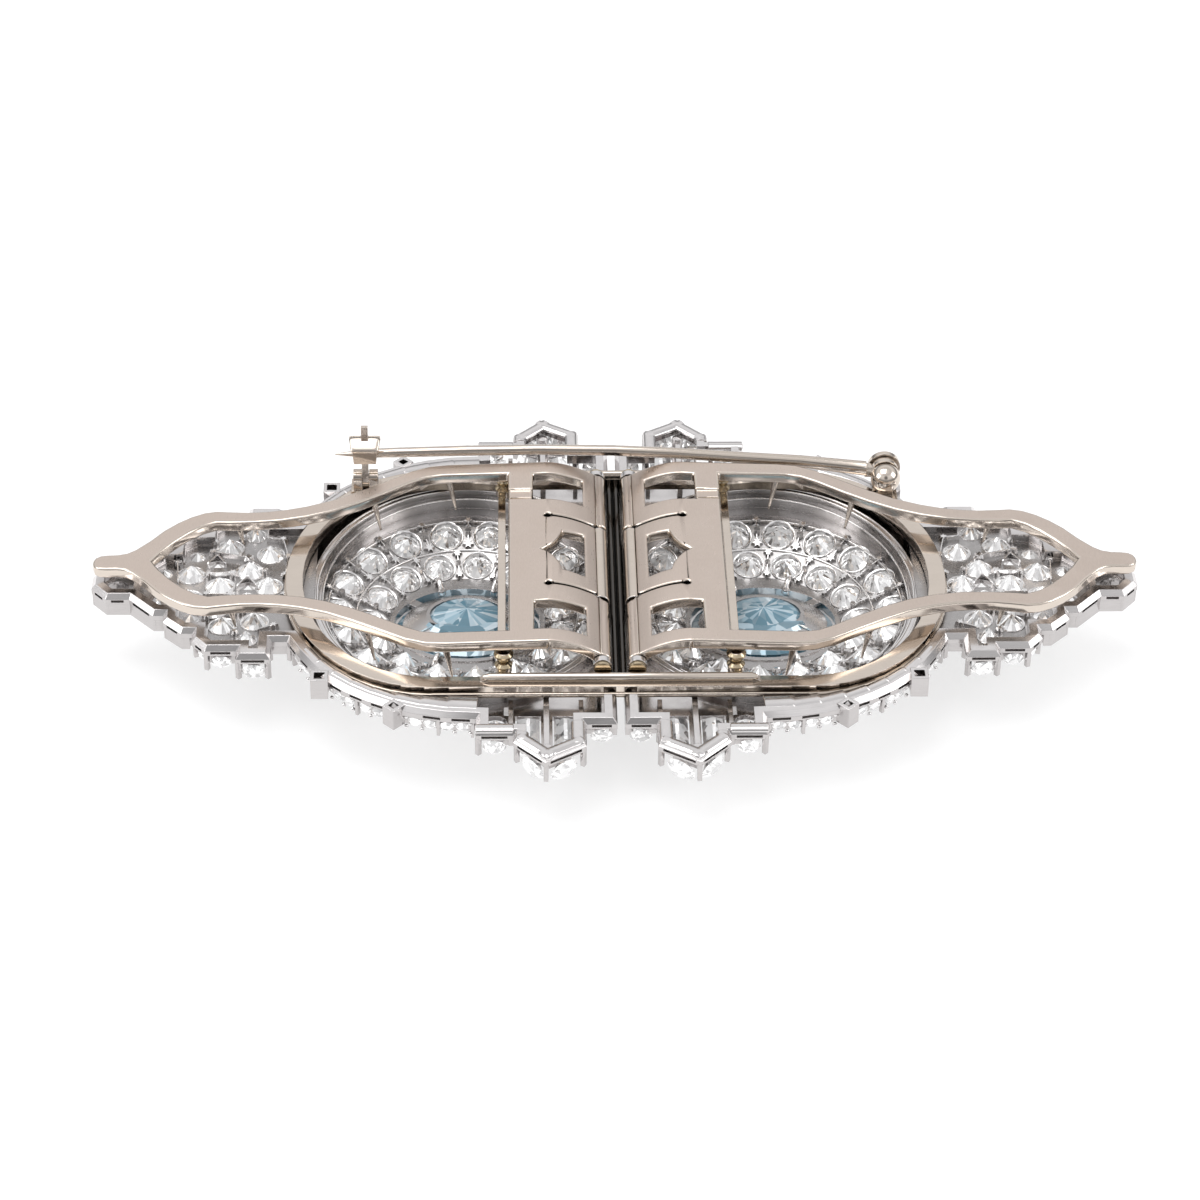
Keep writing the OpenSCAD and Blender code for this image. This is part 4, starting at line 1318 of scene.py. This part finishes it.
@dataclass
class FrameFittings:
    """Small turned and drawn pieces of the brooch frame that the photograph shows in other tones."""

    yellow: bpy.types.Material
    # The rods' finish: polished white gold painted near black as shade.
    dark: bpy.types.Material
    bright: bpy.types.Material
    post_x: float = 8.65
    post_y: float = 11.65
    # Radius and height of each ring of a post's sleeve.
    sleeve: tuple[Pair, ...] = (
        (0.50, 7.36), (0.66, 7.42), (0.70, 7.55), (0.46, 7.74), (0.47, 7.95), (0.62, 8.22), (0.745, 8.36),
        (0.745, 8.54), (0.55, 8.70))
    rod_x: float = 0.292
    rod_z: float = 6.85
    rod_half: float = 13.03
    rod_radius: float = 0.298
    hinge_x: float = 1.3
    hinge_z: float = 7.85
    knuckle_half: float = 4.53
    knuckle_radius: float = 0.74
    chamfer: float = 0.06
    rail_y: float = 13.37
    rail_z: float = 7.58
    rail_half: float = 10.2
    rail_radius: float = 0.36
    rail_end_radius: float = 0.2
    rail_taper: float = 0.5
    wire_centre: float = 14.0
    wire_along: float = 11.42
    wire_across: float = 14.32
    wire_z: float = 6.72
    wire_radius: float = 0.15
    cover_place: Point = (-19.6, 11.74, 11.62)
    cover_size: Point = (2.55, 0.5, 1.45)
    cover_round: float = 0.2
    cover_lean: float = 54.0

    def build(self) -> None:
        """Model the sleeves, the rods between the levers, the barrels, the rails, wire and cover."""
        ways = (-1, 1)
        posts = [(x * self.post_x, y * self.post_y, 0) for x in ways for y in ways]
        self._repeat("post_sleeves", self.sleeve, 24, 35, posts, (0, 0, 0), self.yellow)
        along_y, along_x = (-math.pi / 2, 0, 0), (0, math.pi / 2, 0)
        # The rods fill the gap between the levers, in a near-black finish that is painted shade.
        rod = self._bar(self.rod_radius, self.rod_half, self.rod_radius * 0.8, self.chamfer)
        rods = [(x * self.rod_x, 0, self.rod_z) for x in ways]
        self._repeat("joining_rods", rod, 16, 35, rods, along_y, self.dark)
        radius = self.knuckle_radius
        knuckle = self._bar(radius, self.knuckle_half, radius * 0.9, self.chamfer)
        hinges = [(x * self.hinge_x, 0, self.hinge_z) for x in ways]
        self._repeat("hinge_knuckles", knuckle, 28, 35, hinges, along_y, self.bright)
        rail = self._bar(self.rail_radius, self.rail_half, self.rail_end_radius, self.rail_taper)
        rails = [(0, y * self.rail_y, self.rail_z) for y in ways]
        self._repeat("rail_bars", rail, 20, 40, rails, along_x, self.bright)
        self._ring_wire()
        self._hood_cover()

    @staticmethod
    def _bar(radius: float, half: float, end_radius: float, taper: float) -> tuple[Pair, ...]:
        """Work out the profile of a round bar with narrower ends.

        Args:
            radius: The bar's radius.
            half: Half its length.
            end_radius: Its radius at the ends.
            taper: Length of each narrower end.

        Returns:
            Radius and height of each ring.
        """
        return (end_radius, -half), (radius, taper - half), (radius, half - taper), (end_radius, half)

    @staticmethod
    def _repeat(name: str, profile: Sequence[Pair], sides: int, degrees: float, places: Sequence[Point],
                turn: Point, finish: bpy.types.Material) -> None:
        """Model a turned shape once, copy it to its places and hand the copies over as one piece.

        Args:
            name: The piece's name.
            profile: Radius and height of each ring.
            sides: Number of sides.
            degrees: Edges flatter than this are shaded smooth.
            places: Where the copies go.
            turn: The copies' turn, in radians.
            finish: The piece's material.
        """
        master = turned("master", profile, sides)
        shade(master, degrees)
        copies = [copy_to(master, place, turn) for place in places]
        drop(master)
        hand_over(join_all(copies, name), finish, "brooch", Slot.WHITE_GOLD)

    def _ring_wire(self) -> None:
        """Lay a fine wire round the ring's outer wall: half an oval at each end, a run at each side."""
        centre, radius = self.wire_centre, self.wire_radius
        parts = [oval_wire(side, centre, self.wire_along, self.wire_across, self.wire_z, radius, centre)
                 for side in Side]
        run = turned("run", ((radius, -centre), (radius, centre)), 8)
        shade(run, 50)
        for y in (-1, 1):
            parts.append(copy_to(run, (0, y * self.wire_across, self.wire_z), (0, math.pi / 2, 0)))
        drop(run)
        hand_over(join_all(parts, "ring_wire"), self.bright, "brooch", Slot.WHITE_GOLD)

    def _hood_cover(self) -> None:
        """Model the rounded cover on the safety hood's upper panel."""
        clear_selection()
        bpy.ops.mesh.primitive_cube_add(size=MM, location=(0, 0, 0))
        cover = bpy.context.view_layer.objects.active
        cover.name = "hood_cover"
        cover.scale = self.cover_size
        fix_place(cover)
        bpy.ops.object.mode_set(mode="EDIT")
        squeeze(cover, lambda v: v.z < 0, (0.86, 1, 1))
        bpy.ops.mesh.select_all(action="SELECT")
        bpy.ops.mesh.bevel(offset=self.cover_round * MM, segments=4, affect="EDGES")
        outward_faces(cover)
        apply_modifier(cover, "SUBSURF", levels=1, render_levels=1)
        shade(cover, 60)
        cover.rotation_euler = (math.radians(-self.cover_lean), 0, 0)
        cover.location = Vector(self.cover_place) * MM
        fix_place(cover)
        hand_over(cover, self.bright, "catch", Slot.WHITE_GOLD)


# The brooch's own solids.


@dataclass
class CadDressing:
    """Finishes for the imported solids, and merged copies of those that need soft shading."""

    nodes: dict[str, bpy.types.Object]
    palette: dict[Finish, bpy.types.Material]
    bowl: BowlSurface = field(default_factory=BowlSurface)
    # The mount's stepped wall and sloping bands, its tip's floor, its rim's top and sides; all but the
    # rim's top are painted darker as shade.
    bowl_wall: Pair = (12.3, 14.2)
    bowl_wall_z: Pair = (4.0, 6.2)
    bowl_bands_mm: float = 11.2
    bowl_bands_z: Pair = (1.8, 4.9)
    tip_x: float = 23.2
    tip_floor_z: Pair = (6.2, 6.3)
    rim_top_z: Pair = (6.63, 7.06)
    rim_side_z: Pair = (4.8, 6.8)
    rim_round: float = 0.15
    inner_wall_x: float = 0.2
    # The lever's rounding, its roll over the hinge and its two slits, whose walls are painted near black
    # as shade.
    lever_round: float = 0.19
    lever_merge: float = 0.006
    roll_mm: float = 5.6
    slit_y: float = 4.5
    slit_reach: float = 0.28
    # The ring's upper edges, clear of the pin's joint and the catch, and its low walls, painted dark as
    # shade.
    ring_half: Pair = (14.0, 12.9)
    ring_joint: Pair = (17.5, 8.5)
    ring_top_z: Pair = (7.3, 7.8)
    ring_round: float = 0.40
    ring_wall_z: float = 7.0
    ring_wall_y: float = 12.0
    # The hood's upper part, above its cheeks.
    hood_z: float = 9.9
    hood_round: float = 0.13

    def dress(self, name: str, finish: Finish) -> None:
        """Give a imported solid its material.

        Args:
            name: The node.
            finish: Its finish.
        """
        item = self.nodes[name]
        item.data.materials.clear()
        item.data.materials.append(self.palette[finish])
        LOG.info("%s dressed in %s", name, finish.value.name)

    def smooth_copy(self, name: str, finish: Finish, slot: Slot, degrees: float, edge_mm: float = 0.0,
                    merge_mm: float = 0.0005) -> bpy.types.Object:
        """Stand a merged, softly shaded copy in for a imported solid.

        Args:
            name: The node.
            finish: Its finish.
            slot: The record's slot.
            degrees: Edges flatter than this are shaded smooth.
            edge_mm: Width of a bevel along the sharp edges, or 0 for none.
            merge_mm: Corners closer than this become one.

        Returns:
            The copy.
        """
        source = self.nodes[name]
        self.dress(name, finish)
        clear_selection()
        copy = bpy.data.objects.new(f"{name}_soft", source.data.copy())
        bpy.context.scene.collection.objects.link(copy)
        pick_object(copy)
        if copy.data.has_custom_normals:
            bpy.ops.mesh.customdata_custom_splitnormals_clear()
        bpy.ops.object.mode_set(mode="EDIT")
        bpy.ops.mesh.select_all(action="SELECT")
        bpy.ops.mesh.remove_doubles(threshold=merge_mm * MM)
        bpy.ops.object.mode_set(mode="OBJECT")
        if edge_mm:
            bpy.ops.object.mode_set(mode="EDIT")
            bpy.ops.mesh.select_all(action="SELECT")
            bpy.ops.mesh.dissolve_limited(angle_limit=math.radians(0.5))
            bpy.ops.object.mode_set(mode="OBJECT")
            apply_modifier(copy, "BEVEL", width=edge_mm * MM, segments=3, limit_method="ANGLE",
                           angle_limit=math.radians(45), use_clamp_overlap=False)
        shade(copy, degrees)
        if edge_mm:
            apply_modifier(copy, "WEIGHTED_NORMAL", mode="FACE_AREA", weight=100, keep_sharp=True)
        hand_over(copy, self.palette[finish], source["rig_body"], slot, name)
        return copy

    def _refinish(self, item: bpy.types.Object, finish: Finish,
                  test: Callable[[Vector, Vector], bool]) -> None:
        """Give some faces of a copy another finish.

        Args:
            item: The copy.
            finish: Its finish.
            test: Says, by a face's middle in millimetres and its normal, whether it gets the finish.
        """
        item.data.materials.append(self.palette[finish])
        item.active_material_index = len(item.data.materials) - 1
        pick_object(item)
        bpy.ops.object.mode_set(mode="EDIT")
        bpy.ops.mesh.select_mode(type="FACE")
        mesh = bmesh.from_edit_mesh(item.data)
        for face in mesh.faces:
            face.select_set(bool(test(face.calc_center_median() / MM, face.normal)))
        bmesh.update_edit_mesh(item.data)
        bpy.ops.object.material_slot_assign()
        bpy.ops.mesh.select_mode(type="VERT")
        bpy.ops.object.mode_set(mode="OBJECT")

    def _in_shade(self, middle: Vector, normal: Vector) -> bool:
        """Whether a mount's face is on the bowl's stepped wall, its sloping bands or the tip's floor,
        which are painted darker as shade.
        """
        along, across = abs(middle.x) - self.bowl.centre_mm, middle.y
        in_wall = math.hypot(along / self.bowl_wall[0], across / self.bowl_wall[1]) < 1
        stepped = in_wall and between(middle.z, self.bowl_wall_z) and abs(normal.z) < 0.5
        in_bands = math.hypot(along, across) < self.bowl_bands_mm
        sloping = in_bands and between(middle.z, self.bowl_bands_z) and normal.z > 0.8
        in_tip = abs(middle.x) > self.tip_x
        tip_floor = in_tip and between(middle.z, self.tip_floor_z) and normal.z > 0.9
        return stepped or sloping or tip_floor

    def _on_rim_side(self, middle: Vector, normal: Vector) -> bool:
        """Whether a mount's face is an upright wall of the rim, which is painted darker as shade."""
        return abs(normal.z) < 0.3 and between(middle.z, self.rim_side_z)

    def _on_rim_top(self, place: Vector) -> bool:
        """Whether a corner, in metres, belongs to the rim's upper edges."""
        return between(place.z / MM, self.rim_top_z) and abs(place.x) > self.inner_wall_x * MM

    def _in_slit(self, middle: Vector, normal: Vector) -> bool:
        """Whether a lever's face is a wall of a spring slit or of its drilled end, which is painted near
        black as shade.
        """
        beside = abs(abs(middle.y) - self.slit_y) < self.slit_reach
        return abs(middle.x) < self.roll_mm and beside and normal.z < 0.3

    def _on_lever_edge(self, middle: Vector, normal: Vector) -> bool:
        """Whether a lever's face is polished: all but its level top, and less of it on the roll."""
        return normal.z < (0.8 if abs(middle.x) < self.roll_mm else 0.985)

    def _on_ring(self, place: Vector) -> bool:
        """Whether a corner, in metres, belongs to the upper edges of the ring and its rails."""
        along, across, height = (value / MM for value in place)
        clear_of_joints = across < self.ring_joint[1] or abs(along) < self.ring_joint[0]
        outside = abs(across) > self.ring_half[1] or abs(along) > self.ring_half[0]
        return clear_of_joints and outside and between(height, self.ring_top_z)

    def _on_ring_wall(self, middle: Vector, normal: Vector) -> bool:
        """Whether a face of the ring is on the low walls of its long sides, which are painted dark as
        shade.
        """
        return abs(normal.z) < 0.3 and middle.z < self.ring_wall_z and abs(middle.y) > self.ring_wall_y

    def build(self) -> None:
        """Dress every node."""
        for side in Side:
            self.dress(f"aquamarine_{side.word}", Finish.AQUAMARINE)
            for stones in ("bowl_stones", "tip_stones", "rim_stones"):
                self.dress(f"{stones}_{side.word}", Finish.DIAMOND)
            mount = self.smooth_copy(f"mount_{side.word}", Finish.PLATINUM, Slot.PLATINUM, 18.0)
            round_edges(mount, self._on_rim_top, self.rim_round, 20.0)
            shade(mount, 24.0)
            self._refinish(mount, Finish.PLATINUM_SIDE, self._on_rim_side)
            self._refinish(mount, Finish.PLATINUM_SHADE, self._in_shade)
            name = f"lever_{side.word}"
            edge, merge = self.lever_round, self.lever_merge
            lever = self.smooth_copy(name, Finish.GOLD_SATIN, Slot.WHITE_GOLD, 32.0, edge, merge)
            self._refinish(lever, Finish.GOLD_BRIGHT, self._on_lever_edge)
            self._refinish(lever, Finish.DARK_POLISH, self._in_slit)
            self.dress(f"hinge_pin_{side.word}", Finish.GOLD_YELLOW)
        ring = self.smooth_copy("frame_ring", Finish.GOLD_BRIGHT, Slot.WHITE_GOLD, 22.0)
        round_edges(ring, self._on_ring, self.ring_round, 30.0)
        shade(ring, 34.0)
        self._refinish(ring, Finish.GOLD_SHADE, self._on_ring_wall)
        self.smooth_copy("stem_pin", Finish.GOLD_BRIGHT, Slot.WHITE_GOLD, 40.0)
        hood = self.smooth_copy("hood", Finish.GOLD_BRIGHT, Slot.WHITE_GOLD, 30.0)
        round_edges(hood, lambda v: v.z > self.hood_z * MM, self.hood_round, 30.0)
        shade(hood, 45.0)
        for name in ("stem_rivet", "hood_rivet"):
            self.dress(name, Finish.GOLD_BRIGHT)


def main() -> None:
    """Build the camera, the studio and every piece, in order."""
    logging.basicConfig(level=logging.INFO, format="%(name)s: %(message)s")
    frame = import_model()
    PhotoCamera().build()
    Studio().build()
    palette = {finish: finish.value.build() for finish in Finish}
    CadDressing(frame["nodes"], palette).build()
    masters = Masters()
    for side in Side:
        LargeStone(side, palette[Finish.AQUAMARINE]).build()
        BowlGrains(side, masters, palette[Finish.PLATINUM_BRIGHT]).build()
        TipGrains(side, masters, palette[Finish.PLATINUM_BRIGHT]).build()
        RimBeads(side, masters, palette[Finish.PLATINUM_BRIGHT]).build()
        RimRolls(side, masters, palette[Finish.PLATINUM]).build()
    masters.clear()
    yellow, dark = palette[Finish.GOLD_YELLOW], palette[Finish.DARK_POLISH]
    FrameFittings(yellow, dark, palette[Finish.GOLD_BRIGHT]).build()


if __name__ == "__main__":
    main()
